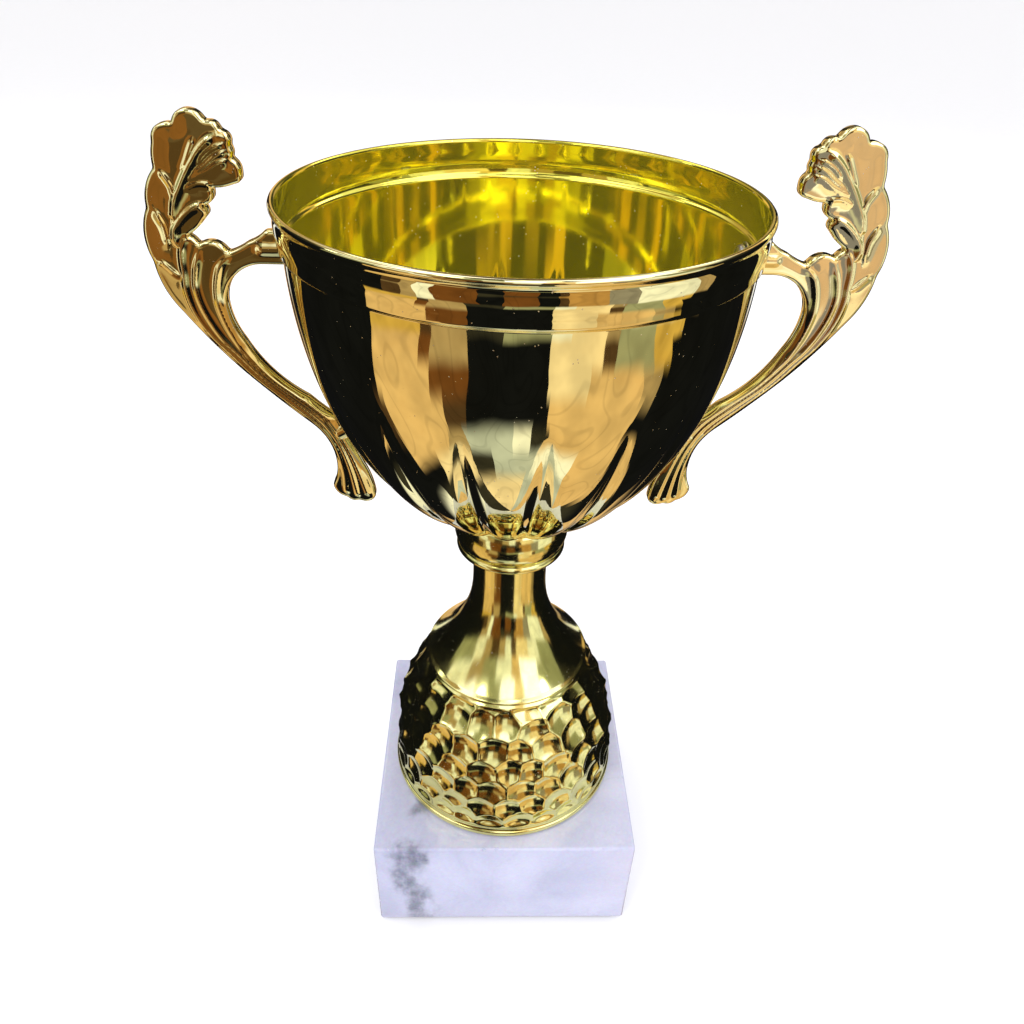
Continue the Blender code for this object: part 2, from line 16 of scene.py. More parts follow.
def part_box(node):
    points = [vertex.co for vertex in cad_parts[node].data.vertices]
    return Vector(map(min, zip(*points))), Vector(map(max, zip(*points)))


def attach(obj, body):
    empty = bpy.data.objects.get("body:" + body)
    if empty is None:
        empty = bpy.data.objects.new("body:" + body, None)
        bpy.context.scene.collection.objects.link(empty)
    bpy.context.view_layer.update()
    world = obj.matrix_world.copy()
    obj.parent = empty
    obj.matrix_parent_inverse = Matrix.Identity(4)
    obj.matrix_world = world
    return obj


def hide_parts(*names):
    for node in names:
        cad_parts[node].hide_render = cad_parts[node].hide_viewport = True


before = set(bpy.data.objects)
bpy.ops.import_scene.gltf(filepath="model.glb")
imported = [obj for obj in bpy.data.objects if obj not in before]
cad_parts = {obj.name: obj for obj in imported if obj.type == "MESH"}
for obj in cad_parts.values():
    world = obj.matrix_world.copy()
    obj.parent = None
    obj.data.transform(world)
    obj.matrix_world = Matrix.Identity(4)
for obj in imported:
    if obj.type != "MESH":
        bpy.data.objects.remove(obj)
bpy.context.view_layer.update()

MM = 0.001
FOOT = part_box("riser")[0].z / MM

# Centre of a turned solid's end face, clear of the axis
NEAR_AXIS = 0.05

# Bowl
SHEET = 0.8
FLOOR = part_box("bowl")[0].z / MM - FOOT
FLOOR_FLAT = 9.0
RIM_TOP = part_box("bowl")[1].z / MM - FOOT
ROD_HOLE = 3.4
BODY_RADIUS = 52.0
BODY_DEPTH = 74.9
BODY_STEPS = 70
SHOULDER = 172.4
LEDGE_OUTSIDE = [(52.0, 172.5), (52.0, 172.8), (52.9, 173.3), (53.0, 174.6)]
LEDGE_INSIDE = [(52.2, 174.4), (52.0, 173.9), (51.2, 173.4), (51.2, 172.2)]
BAND_RADIUS = 53.0
BAND_BULGE = 0.35
BAND_FOOT = 174.6
BAND_STEPS = 9
BEAD_RADIUS = 0.8
BEAD_DEGREES = range(-75, 196, 18)
BOWL_STEPS = 360
FLUTES = 18
FLUTE_PHASE = math.radians(-85)
FLUTE_TOP = 152.0
FLUTE_FULL = 122.0
FLUTE_DEPTH = 1.7
FLUTE_FULL_DEPTH_RADIUS = 30.0
FLUTE_WIDTH = 2.3
FLUTE_END_WIDTH = 0.35
FLUTE_PITCH_SHARE = 0.30
FLUTE_START_RADIUS = 11.0
FLUTE_CLEAR_RADIUS = 21.0

# Riser
FOOT_RING = [(33.0, 0.0), (35.4, 0.0), (36.0, 0.5), (36.0, 1.9), (35.4, 2.4), (35.2, 3.4)]
DOME_RADIUS = 35.5
DOME_CENTRE = 7.0
DOME_RISE = 51.6
DOME_FOOT = 3.8
DOME_TOP = 45.0
COVE = [(23.4, 45.3), (23.1, 46.0), (24.2, 46.5), (24.6, 47.1), (24.1, 47.6)]
BELL_RADIUS = 24.1
BELL_EDGE = 47.4
FLARE_FOOT = 47.9
NECK_RADIUS = 10.5
NECK_BOTTOM = 78.0
NECK_RING = 88.0
FLARE_POWER = 2.45
RISER_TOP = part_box("riser")[1].z / MM - FOOT
RISER_WALL = 2.0
NECK_INNER_HEIGHTS = (78, 72, 66, 60, 54, 50)
SKIRT_INNER_HEIGHTS = (42, 36, 28, 20, 12)
RISER_STEPS = 360
CELL_SEED = 11
CELL_SPACING = 8.3
CELL_ROWS = (-0.6, 6.2, 12.9, 19.6, 26.3, 32.9, 39.2, 45.2)
CELL_JITTER = 1.5
CELL_DEPTH = 1.25
CELL_REACH = 4.5
CELL_BLEND = 2.2
CELL_TILT = 0.075
CELL_FOOT_FADE = 2.2
CELL_TOP_FADE = 1.5

# Collar
COLLAR_BORE = 11.0
COLLAR_ROOF = RISER_TOP + 0.3
COLLAR_OUTSIDE = [
    (COLLAR_BORE, 87.4), (14.2, 87.4), (14.9, 87.6), (15.2, 88.3), (14.9, 89.1), (14.5, 89.5),
    (14.6, 90.0), (15.1, 90.8), (15.7, 92.6), (15.7, 95.0), (15.2, 97.4), (14.4, 99.3),
    (13.3, 100.0), (ROD_HOLE, 100.0),
]

# Handle
TAB_END = 54.5
TAB_UNDERSIDE = 160.0
NOTCH_EASING = 3
STRAIGHT_BELOW = 0.15
EDGE_STEP = 0.35
MERGE_WITHIN = 1e-6
ON_EDGE = 1e-4
EDGE_HALF = 0.95
FIELD_HALF = 1.6
EDGE_ROUND = 0.9
PILLOW = 0.15
PILLOW_FOOT = 0.5
PILLOW_TOP = 4.0
VEIN_SHARPNESS = 1.6
VEIN_START = 0.45
VEIN_SWELL = 0.15
VEIN_END = 0.6
VEIN_FADE = (0.25, 1.1)
RING_DISTANCES = (0.07, 0.19, 0.36, 0.6, 0.9, 1.2)
RING_TOLERANCE = 0.93
FIELD_STEP = 0.34
FIELD_ROW = 0.866 * FIELD_STEP
FIELD_GAP = 0.25
BOSS_RADIUS = 2.1
BOSS_END = 57.3
BOSS_FADE = 5.0
BOSS_BLEND = 0.18
PEG_RADIUS = 2.4
PEG_FLARE = 0.1
PEG_FOOT = (0.3, 0.8)
PEG_LENGTH = 6.6
PEG_ROUNDING = 1.6
BORE_DEPTH = 5.0

# Block and felt
BLOCK_ROUNDING = 0.9
COUNTERBORE_RADIUS = 11.0
COUNTERBORE_DEPTH = 14.0
BLOCK_HOLE_RADIUS = 4.5
CHIPS = 26
CHIP_SEED = 5
CHIP_SIZES = (0.5, 1.4)
CHIP_DEPTHS = (0.15, 0.4)
CHIP_ROUGHNESS = 0.12
CHIP_REACH = 0.95
FELT_GRAIN = 0.12
FELT_STEPS = 130
FELT_SEED = 3
FELT_EDGE_FALL = 0.3
FELT_EDGE_WIDTH = 1.2

# Fasteners
CUT_REACH = 1.0
ROD_RADIUS = 3.0
ROD_PITCH = 1.0
ROD_CHAMFER = 0.7
ROD_RINGS_PER_MM = 6
THREAD_DEPTH = 0.6
THREAD_CATCH = 0.01
THREAD_FLANK = (0.15, 0.9)
NUT_FACE_INSET = 0.35
NUT_CHAMFER = 0.85
NUT_CONE_CLEARANCE = 0.3
NUT_SINK = 1.1
NUT_SINK_ABOVE = 0.5
NUT_SINK_BELOW = 0.6
LOCK_RADIUS = 5.2
LOCK_RISE = 0.3
LOCK_GAP = math.radians(10)
LOCK_SLANT = 0.06
LOCK_STEPS = 90
SCREW_RADIUS = 1.5
SCREW_PITCH = 0.5
SCREW_LENGTH = 6.5
SCREW_THREAD_START = 0.1
SCREW_POINT = 0.9
SCREW_HEAD_RADIUS = 2.9
SCREW_HEAD_HEIGHT = 1.7
SCREW_HEAD_SIDE = 0.35
SCREW_HEAD_SQUARENESS = 0.8
SCREW_HEAD_EDGE = 0.12
SCREW_TURN = 0.5
SCREW_HOLE_RADIUS = 1.8
SCREW_HOLE_REACH = 4.0
RECESS_TOP = 1.0
RECESS_BOTTOM = 0.55
RECESS_STRETCH = (1.9, 0.42, 1.0, 1.0)
WASHER_RADIUS = 3.5
WASHER_THICKNESS = 0.5
FASTENER_GAP = 0.2
UPPER_SCREW = 169.4
LOWER_SCREW = 125.0
HALF_TURN = Matrix.Rotation(math.pi, 4, "Z")

# Gold tints, linear. The inside tint is yellower than the outside to paint in the deeper colour of light
# bounced round inside the bowl
GOLD_OUTSIDE = (0.93, 0.88, 0.42)
GOLD_INSIDE_PAINTED_BOUNCE = (0.94, 0.87, 0.12)

# Plated plastic: tint, tarnished tint, least roughness
RISER_GOLD = ((0.90, 0.87, 0.33), (0.80, 0.72, 0.24), 0.10)
LEAF_GOLD = ((0.93, 0.87, 0.40), (0.88, 0.79, 0.34), 0.03)

# Camera
CAMERA_LENS = 29.23
CAMERA_TURN = math.radians(-2.54)
CAMERA_PLACE = Vector((0.075, -186.18, 230.76 + FOOT))
CAMERA_DOWN = math.radians(35.56)
CAMERA_ROLL = math.radians(2.1)

# Softboxes, in metres: name, place, size, power, colour
SOFTBOX_AIM = (0, 0, 0.10)
SOFTBOXES = (
    ("key", (-0.55, -0.60, 0.95), 0.6, 4.5, (1.0, 1.0, 1.0)),
    ("fill", (0.80, -0.35, 0.50), 0.8, 2.0, (1.0, 0.99, 1.0)),
    ("back", (0.10, 0.90, 0.80), 0.8, 2.0, (0.98, 0.99, 1.0)),
)

# Cards, each mirrored by one leaf alone: leaf, side, power, colour. Blush on the right, amber on the left
CARD_PLACE = (0.163, -0.22, 0.138)
CARD_AIM = (0.07, 0.0, 0.21)
CARD_SIZE = 0.20
CARDS = (
    ("handle_leaf_right", 1, 0.055, (0.60, 0.56, 0.78)),
    ("handle_leaf_left", -1, 0.014, (0.80, 0.42, 0.12)),
)


# ---- mesh tools


def link(obj):
    if obj.name not in bpy.context.scene.collection.objects:
        bpy.context.scene.collection.objects.link(obj)


def solid(name, verts, faces, matrix=None):
    """An object from vertices in millimetres, its faces turned outward."""
    mesh = bpy.data.meshes.new(name)
    mesh.from_pydata((np.asarray(verts) * MM).tolist(), [], faces)
    bm = bmesh.new()
    bm.from_mesh(mesh)
    bmesh.ops.recalc_face_normals(bm, faces=bm.faces)
    bm.to_mesh(mesh)
    bm.free()
    obj = bpy.data.objects.new(name, mesh)
    if matrix is not None:
        obj.matrix_world = matrix
    return obj


def stand_for(piece, body, node):
    """Puts a finished piece in the scene, on its body and in place of its CAD node."""
    link(piece)
    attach(piece, body)
    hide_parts(node)


def dress(piece, mat, body, node, sharp_from):
    """Shading that is smooth up to an angle in degrees, the material and the place in the frame."""
    piece.data.shade_smooth()
    piece.data.set_sharp_from_angle(angle=math.radians(sharp_from))
    piece.data.materials.clear()
    piece.data.materials.append(mat)
    stand_for(piece, body, node)


def turned(profile, steps, shape=None, capped=False):
    """Vertices and faces of a (radius, height) profile turned about Z.

    The profile is a closed loop, or with capped an open path whose two end rings are filled.
    shape(radii, heights, angles) may move the points, all three as grids of one row per ring.
    """
    profile = np.asarray(profile, float)
    angles = 2 * np.pi * np.arange(steps) / steps
    radii = np.repeat(profile[:, :1], steps, axis=1)
    heights = np.repeat(profile[:, 1:], steps, axis=1)
    grid_angles = np.repeat(angles[None, :], len(profile), axis=0)
    if shape is not None:
        radii, heights = shape(radii, heights, grid_angles)
    verts = np.stack(
        [radii * np.cos(grid_angles), radii * np.sin(grid_angles), heights], axis=-1
    ).reshape(-1, 3)
    faces = grid_faces(len(profile), steps, not capped, True)
    if capped:
        last = (len(profile) - 1) * steps
        faces.append(tuple(range(steps))[::-1])
        faces.append(tuple(range(last, last + steps)))
    return verts, faces


def grid_faces(rows, columns, wrap_rows, wrap_columns):
    """Quads of a grid of vertices that may close on itself either way."""
    faces = []
    for i in range(rows if wrap_rows else rows - 1):
        i_next = (i + 1) % rows
        for j in range(columns if wrap_columns else columns - 1):
            j_next = (j + 1) % columns
            faces.append((
                i * columns + j,
                i * columns + j_next,
                i_next * columns + j_next,
                i_next * columns + j,
            ))
    return faces


def lifted(verts, height):
    return np.asarray(verts, float) + (0, 0, height)


def cut(piece, cutter, operation="DIFFERENCE"):
    """Applies one exact Boolean to the piece and removes the other mesh."""
    link(piece)
    link(cutter)
    modifier = piece.modifiers.new("cut", "BOOLEAN")
    modifier.operation = operation
    modifier.solver = "EXACT"
    modifier.object = cutter
    bpy.context.view_layer.update()
    graph = bpy.context.evaluated_depsgraph_get()
    mesh = bpy.data.meshes.new_from_object(piece.evaluated_get(graph))
    piece.modifiers.clear()
    piece.data = mesh
    bpy.data.objects.remove(cutter, do_unlink=True)


def cut_turned(piece, profile, steps, matrix=None, operation="DIFFERENCE"):
    """Applies one Boolean with the solid turned from an open profile."""
    cut(piece, solid("cutter", *turned(profile, steps, capped=True), matrix), operation)


def smoothstep(low, high, value):
    share = np.clip((value - low) / (high - low), 0.0, 1.0)
    return share * share * (3 - 2 * share)


# ---- bowl


def body_point(turn, inset=0.0):
    """(radius, height) on the bowl's elliptical body, inset along its normal."""
    normal = Vector((BODY_DEPTH * math.cos(turn), -BODY_RADIUS * math.sin(turn))).normalized()
    radius = BODY_RADIUS * math.cos(turn) - normal.x * inset
    return radius, SHOULDER - BODY_DEPTH * math.sin(turn) - normal.y * inset


def body_turn(height):
    return math.asin((SHOULDER - height) / BODY_DEPTH)


def rounded(points, steps=5):
    """The open (radius, height) path with each inner corner turned into a short curve."""
    path = [points[0]]
    for before, corner, after in zip(points, points[1:], points[2:]):
        start = (Vector(before) + Vector(corner)) / 2
        end = (Vector(corner) + Vector(after)) / 2
        for step in range(steps + 1):
            t = step / steps
            path.append(tuple(
                (1 - t) ** 2 * start + 2 * t * (1 - t) * Vector(corner) + t * t * end
            ))
    path.append(points[-1])
    return path


def band_radius(height, bead_foot):
    share = (height - BAND_FOOT) / (bead_foot - BAND_FOOT)
    return BAND_RADIUS + BAND_BULGE * math.sin(math.pi * share)


def bowl_profile():
    """Closed loop of the sheet: up the outside, over the rolled bead and down the inside."""
    turns = [body_turn(FLOOR) * (1 - step / BODY_STEPS) for step in range(BODY_STEPS + 1)]
    bead_middle = RIM_TOP - BEAD_RADIUS
    bead_foot = bead_middle - BEAD_RADIUS
    band_heights = [
        BAND_FOOT + (bead_foot - BAND_FOOT) * step / BAND_STEPS for step in range(1, BAND_STEPS)
    ]
    outside = [(ROD_HOLE, FLOOR), (FLOOR_FLAT, FLOOR)]
    outside += [body_point(turn) for turn in turns]
    outside += rounded(LEDGE_OUTSIDE)
    outside += [(band_radius(height, bead_foot), height) for height in band_heights]
    bead = []
    for degrees in BEAD_DEGREES:
        angle = math.radians(degrees)
        bead.append((
            BAND_RADIUS + BEAD_RADIUS * math.cos(angle),
            bead_middle + BEAD_RADIUS * math.sin(angle),
        ))
    inside = [(band_radius(height, bead_foot) - SHEET, height) for height in band_heights[::-1]]
    inside += rounded(LEDGE_INSIDE)
    inside += [body_point(turn, SHEET) for turn in turns[::-1][2:-2]]
    floor_corner = BODY_RADIUS * math.cos(body_turn(FLOOR + SHEET)) - SHEET
    inside += [(radius, FLOOR + SHEET) for radius in (floor_corner, FLOOR_FLAT, ROD_HOLE)]
    return outside + bead + inside


def flutes(radii, heights, angles):
    """Presses the grooves between the lobes into the lower bowl."""
    pitch = 2 * np.pi / FLUTES
    off = (angles - FLUTE_PHASE + pitch / 2) % pitch - pitch / 2
    across = np.abs(off) * radii
    fade = smoothstep(FLUTE_TOP, FLUTE_FULL, heights)
    fade = fade * smoothstep(FLUTE_START_RADIUS, FLUTE_CLEAR_RADIUS, radii)
    width = FLUTE_WIDTH * (FLUTE_END_WIDTH + (1 - FLUTE_END_WIDTH) * fade)
    width = np.minimum(width, pitch * radii * FLUTE_PITCH_SHARE)
    depth = FLUTE_DEPTH * fade * np.minimum(1.0, radii / FLUTE_FULL_DEPTH_RADIUS)
    return radii - depth * np.exp(-((across / width) ** 2)), heights


def wall_frame(height):
    """Matrix of a screw through the bowl's +X wall: +Z along the outward normal."""
    turn = body_turn(height)
    radius, level = body_point(turn)
    normal = Vector((BODY_DEPTH * math.cos(turn), 0, -BODY_RADIUS * math.sin(turn))).normalized()
    rotation = Vector((0, 0, 1)).rotation_difference(normal).to_matrix().to_4x4()
    return Matrix.Translation(Vector((radius, 0, FOOT + level)) * MM) @ rotation


def make_bowl(mat):
    verts, faces = turned(bowl_profile(), BOWL_STEPS, flutes)
    bowl = solid("bowl_sheet", lifted(verts, FOOT), faces)
    hole = [(SCREW_HOLE_RADIUS, -SCREW_HOLE_REACH), (SCREW_HOLE_RADIUS, SCREW_HOLE_REACH)]
    for height in (UPPER_SCREW, LOWER_SCREW):
        for side in (Matrix(), HALF_TURN):
            cut_turned(bowl, hole, 24, side @ wall_frame(height))
    dress(bowl, mat, "cup", "bowl", sharp_from=60)


# ---- riser


def dome_radius(height):
    share = np.clip((height - DOME_CENTRE) / DOME_RISE, -1.0, 1.0)
    return DOME_RADIUS * np.sqrt(1 - share**2)


def flare_radius(height):
    share = np.clip((NECK_BOTTOM - height) / (NECK_BOTTOM - BELL_EDGE), 0.0, 1.0)
    return NECK_RADIUS + (BELL_RADIUS - NECK_RADIUS) * share**FLARE_POWER


def riser_profile():
    """Closed loop of the moulding: up the outside, across the top and down the inside."""
    outside = rounded(FOOT_RING, 4)
    outside += [(float(dome_radius(z)), z) for z in np.linspace(DOME_FOOT, DOME_TOP, 140)]
    outside += rounded(COVE, 4)
    outside += [(float(flare_radius(z)), z) for z in np.linspace(FLARE_FOOT, NECK_BOTTOM, 60)]
    ceiling = RISER_TOP - RISER_WALL
    top = [(NECK_RADIUS, NECK_RING), (NECK_RADIUS, RISER_TOP), (ROD_HOLE, RISER_TOP)]
    top += [(ROD_HOLE, ceiling), (NECK_RADIUS - RISER_WALL, ceiling)]
    neck = [(float(flare_radius(z)) - RISER_WALL, z - RISER_WALL) for z in NECK_INNER_HEIGHTS]
    skirt = [(float(dome_radius(z)) - CELL_DEPTH - RISER_WALL, z) for z in SKIRT_INNER_HEIGHTS]
    return outside + top + neck + skirt


def cell_seeds():
    """Middles of the hammered cells: rows that are staggered at the front, each cell a little off place."""
    rng = np.random.default_rng(CELL_SEED)
    seeds = []
    for row, height in enumerate(CELL_ROWS):
        count = round(2 * math.pi * float(dome_radius(height)) / CELL_SPACING)
        for i in range(count):
            level = height + rng.uniform(-CELL_JITTER, CELL_JITTER)
            spot = float(dome_radius(min(max(level, DOME_CENTRE), DOME_TOP)))
            angle = 2 * math.pi * (i + row / 2) / count - math.pi / 2
            angle += rng.uniform(-CELL_JITTER, CELL_JITTER) / spot
            seeds.append((spot * math.cos(angle), spot * math.sin(angle), level))
    return np.array(seeds), rng.uniform(-1, 1, (len(seeds), 3))


def hammered(radii, heights, angles):
    """Sinks a shallow dish at every cell of the dome and tilts each dish a little."""
    rows = np.isclose(radii[:, 0], dome_radius(heights[:, 0]), atol=0.01)
    seeds, tilts = cell_seeds()
    r, z, a = radii[rows], heights[rows], angles[rows]
    points = np.stack([r * np.cos(a), r * np.sin(a), z], axis=-1).reshape(-1, 3)
    away = points[:, None, :] - seeds[None, :, :]
    squares = (away**2).sum(-1)
    least = squares.min(1)
    weights = np.exp((least[:, None] - squares) / CELL_BLEND)
    total = weights.sum(1)
    blended = least - CELL_BLEND * np.log(total)
    tilt = (weights * (away * tilts[None, :, :]).sum(-1)).sum(1) / total
    dish = 1 - np.clip(blended, 0, None) / CELL_REACH**2
    sink = (CELL_DEPTH * dish + CELL_TILT * tilt).reshape(r.shape)
    ends = smoothstep(DOME_FOOT, DOME_FOOT + CELL_FOOT_FADE, z)
    ends = ends * smoothstep(DOME_TOP, DOME_TOP - CELL_TOP_FADE, z)
    moved = radii.copy()
    moved[rows] = r - sink * ends
    return moved, heights


def make_riser(mat):
    verts, faces = turned(riser_profile(), RISER_STEPS, hammered)
    shell = solid("riser_shell", lifted(verts, FOOT), faces)
    dress(shell, mat, "riser", "riser", sharp_from=60)


def make_collar(mat):
    inside = [(ROD_HOLE, COLLAR_ROOF), (COLLAR_BORE, COLLAR_ROOF)]
    verts, faces = turned(rounded(COLLAR_OUTSIDE, 6) + inside, 180)
    drum = solid("collar_drum", lifted(verts, FOOT), faces)
    dress(drum, mat, "riser", "stem_collar", sharp_from=50)


# ---- handles

# Right-hand leaf seen from the front, counter-clockwise: distance from the axis, height above the
# riser's underside, and how far the edge to the next point bulges outward.
LEAF_OUTLINE = (
    # underside of the tab, then the inner edge of the stem
    (52.3, 165.9, 0.0), (57.8, 165.9, -2.6), (67.1, 157.0, -0.7), (64.4, 147.3, -1.5),
    (51.2, 132.6, -0.2), (44.8, 127.0, 0.0), (39.3, 113.2, 0.5),
    # fluted tail
    (36.6, 103.6, 1.2), (41.0, 102.1, 0.7), (44.2, 103.0, 1.0), (47.7, 107.2, -0.6),
    # outer edge of the stem
    (46.2, 114.6, -1.2), (51.4, 125.4, 0.2), (65.5, 139.0, 0.4),
    # outer lobes
    (77.6, 154.4, 1.0), (81.9, 166.2, 1.3), (81.0, 177.8, 0.9), (77.8, 185.9, 0.3),
    # crown
    (77.0, 191.2, 0.9), (74.2, 194.7, 0.2), (72.3, 194.7, 2.6), (65.5, 195.3, 0.9),
    (62.6, 193.6, 1.0), (61.1, 190.6, 0.5), (61.1, 188.3, 0.6), (59.6, 185.2, 0.7),
    # inner lobes, shoulder and tab
    (61.3, 183.1, 0.3), (66.2, 182.2, 1.1), (68.5, 178.6, 0.8), (68.7, 175.9, 0.3),
    (73.1, 172.0, 0.3), (71.2, 170.1, 1.5), (65.1, 168.5, -0.2), (60.5, 170.8, -0.3),
    (56.5, 173.3, 0.2), (53.1, 173.2, 0.0),
)

# Raised veins: path points, height above the field, width of the steep side, width of the easy side.
# The steep side is on the left of the path's direction.
LEAF_VEINS = (
    # fan of the crown
    (((63.9, 192.7), (65.8, 191.6), (67.9, 189.7), (69.6, 187.5), (71.4, 185.0), (73.0, 182.4),
      (74.6, 179.6), (75.5, 176.6)), 0.54, 0.45, 1.54),
    (((62.4, 191.2), (64.8, 190.3), (66.5, 189.1), (68.1, 187.4)), 0.34, 0.40, 1.12),
    (((62.2, 189.8), (64.5, 188.6), (66.9, 186.8), (69.4, 185.2)), 0.34, 0.40, 0.98),
    (((62.0, 188.0), (64.3, 187.3), (66.8, 185.7), (70.2, 184.3)), 0.37, 0.40, 1.26),
    (((68.3, 191.8), (69.2, 190.2), (70.3, 188.0), (71.3, 186.2)), 0.31, 0.45, 0.56),
    # inner lobes
    (((66.3, 182.9), (68.3, 183.3), (69.9, 183.0), (71.7, 182.1)), 0.37, 0.40, 0.98),
    (((68.1, 179.1), (70.3, 178.5), (72.3, 177.3), (74.1, 175.7), (75.7, 173.6), (76.3, 171.7),
      (76.0, 170.4)), 0.51, 0.45, 1.54),
    # three ridges that run from the shoulder down the stem to the tail
    (((72.6, 172.0), (74.2, 171.0), (75.2, 168.9), (75.6, 166.4), (75.7, 163.6), (75.9, 160.2),
      (75.4, 156.2), (74.0, 152.2), (71.6, 148.2), (68.4, 144.4), (63.1, 138.0), (56.9, 132.2),
      (50.7, 126.2), (46.5, 119.6), (44.6, 112.4), (44.4, 105.4)), 0.44, 0.45, 1.05),
    (((71.3, 169.1), (72.1, 167.0), (73.1, 164.2), (73.7, 160.7), (73.2, 156.5), (71.6, 151.8),
      (69.4, 147.6), (66.7, 144.4), (61.4, 138.0), (55.0, 132.2), (48.7, 126.2), (45.0, 119.6),
      (42.9, 112.4), (41.6, 104.4)), 0.41, 0.45, 0.91),
    (((65.4, 167.5), (66.7, 166.3), (67.9, 164.4), (69.0, 160.5), (69.2, 156.5), (68.3, 152.0),
      (66.9, 148.2), (64.9, 144.4), (59.6, 138.0), (53.0, 132.2), (46.9, 126.2), (43.5, 119.6),
      (41.0, 112.4), (39.0, 104.8)), 0.41, 0.50, 0.91),
    # outer lobes
    (((76.2, 185.4), (75.2, 183.9), (74.5, 182.1), (74.4, 180.4)), 0.34, 0.70, 0.45),
    (((78.9, 177.4), (78.3, 175.8), (77.7, 174.2), (77.5, 172.2), (77.5, 170.3)), 0.37, 1.12, 0.40),
    (((80.1, 166.5), (78.8, 165.2), (77.5, 163.9), (76.3, 163.1)), 0.34, 0.98, 0.40),
)


def arc_points(start, end, bulge):
    """Points from start up to, but not including, end, along an arc that bulges to the right."""
    chord = end - start
    if abs(bulge) < STRAIGHT_BELOW:
        count = max(1, round(chord.length / EDGE_STEP))
        return [start + chord * (step / count) for step in range(count)]
    half = chord.length / 2
    radius = (half**2 + bulge**2) / (2 * abs(bulge))
    sign = 1 if bulge > 0 else -1
    side = Vector((chord.y, -chord.x)).normalized() * sign
    centre = (start + end) / 2 - side * (radius - abs(bulge))
    sweep = 2 * math.asin(min(1.0, half / radius))
    if abs(bulge) > half:
        sweep = 2 * math.pi - sweep
    count = max(2, round(radius * sweep / EDGE_STEP))
    arm = start - centre
    points = []
    for step in range(count):
        angle = sign * sweep * step / count
        points.append(centre + Vector((
            arm.x * math.cos(angle) - arm.y * math.sin(angle),
            arm.x * math.sin(angle) + arm.y * math.cos(angle),
        )))
    return points


def leaf_edge():
    """The outline as an (n, 2) array, its notches eased so that the rounded edge can run round them."""
    corners = [(Vector((x, z)), bulge) for x, z, bulge in LEAF_OUTLINE]
    points = []
    for (start, bulge), (end, _) in zip(corners, corners[1:] + corners[:1]):
        points += arc_points(start, end, bulge)
    edge = np.array([tuple(p) for p in points])
    fixed = (edge[:, 0] < TAB_END) & (edge[:, 1] > TAB_UNDERSIDE)
    for _ in range(NOTCH_EASING):
        eased = (np.roll(edge, 1, 0) + 2 * edge + np.roll(edge, -1, 0)) / 4
        edge = np.where(fixed[:, None], edge, eased)
    return edge


def segment_distances(points, path, closed):
    """Distance from each point to a polyline, the side it lies on and the share along the path."""
    start = path if closed else path[:-1]
    end = np.roll(path, -1, 0) if closed else path[1:]
    step = end - start
    rel = points[:, None, :] - start[None]
    share = np.clip((rel * step).sum(-1) / (step * step).sum(-1), 0, 1)
    away = rel - share[..., None] * step
    gaps = np.hypot(away[..., 0], away[..., 1])
    nearest = gaps.argmin(1)
    row = np.arange(len(points))
    cross = step[nearest, 0] * rel[row, nearest, 1] - step[nearest, 1] * rel[row, nearest, 0]
    along = (nearest + share[row, nearest]) / len(start)
    return gaps[row, nearest], np.sign(cross), along


def curve_through(points, steps=8):
    """A Catmull-Rom curve through the points."""
    pts = [np.array(p, float) for p in points]
    pts = [2 * pts[0] - pts[1]] + pts + [2 * pts[-1] - pts[-2]]
    out = []
    for a, b, c, d in zip(pts, pts[1:], pts[2:], pts[3:]):
        for step in range(steps):
            t = step / steps
            out.append(0.5 * (
                2 * b + (c - a) * t + (2 * a - 5 * b + 4 * c - d) * t**2
                + (3 * b - a - 3 * c + d) * t**3
            ))
    out.append(pts[-2])
    return np.array(out)


def leaf_half_thickness(points, edge_gap):
    """How far the leaf's face stands from its middle plane: rounded edge, pillow, veins and boss."""
    rise = np.sqrt(np.clip(1 - (1 - np.clip(edge_gap / EDGE_ROUND, 0, 1)) ** 2, 0, 1))
    height = EDGE_HALF + (FIELD_HALF - EDGE_HALF) * rise
    height += PILLOW * smoothstep(PILLOW_FOOT, PILLOW_TOP, edge_gap)
    relief = np.zeros(len(points))
    for path, tall, steep, easy in LEAF_VEINS:
        gap, side, along = segment_distances(points, curve_through(path), False)
        width = np.where(side > 0, steep, easy)
        swell = smoothstep(0.0, VEIN_SWELL, along)
        sag = smoothstep(1.0 - VEIN_SWELL, 1.0, along)
        taper = VEIN_START + (1 - VEIN_START) * swell * (1 - (1 - VEIN_END) * sag)
        ridge = tall * taper * np.exp(-((gap / width) ** VEIN_SHARPNESS))
        relief = np.maximum(relief, ridge)
    height += relief * smoothstep(*VEIN_FADE, edge_gap)
    boss = np.sqrt(np.clip(BOSS_RADIUS**2 - (points[:, 1] - UPPER_SCREW) ** 2, 0, None))
    boss *= smoothstep(BOSS_END + BOSS_FADE, BOSS_END, points[:, 0])
    boss *= np.sqrt(smoothstep(0.0, PILLOW_FOOT, edge_gap))
    return height + BOSS_BLEND * np.logaddexp(0, (boss - height) / BOSS_BLEND)


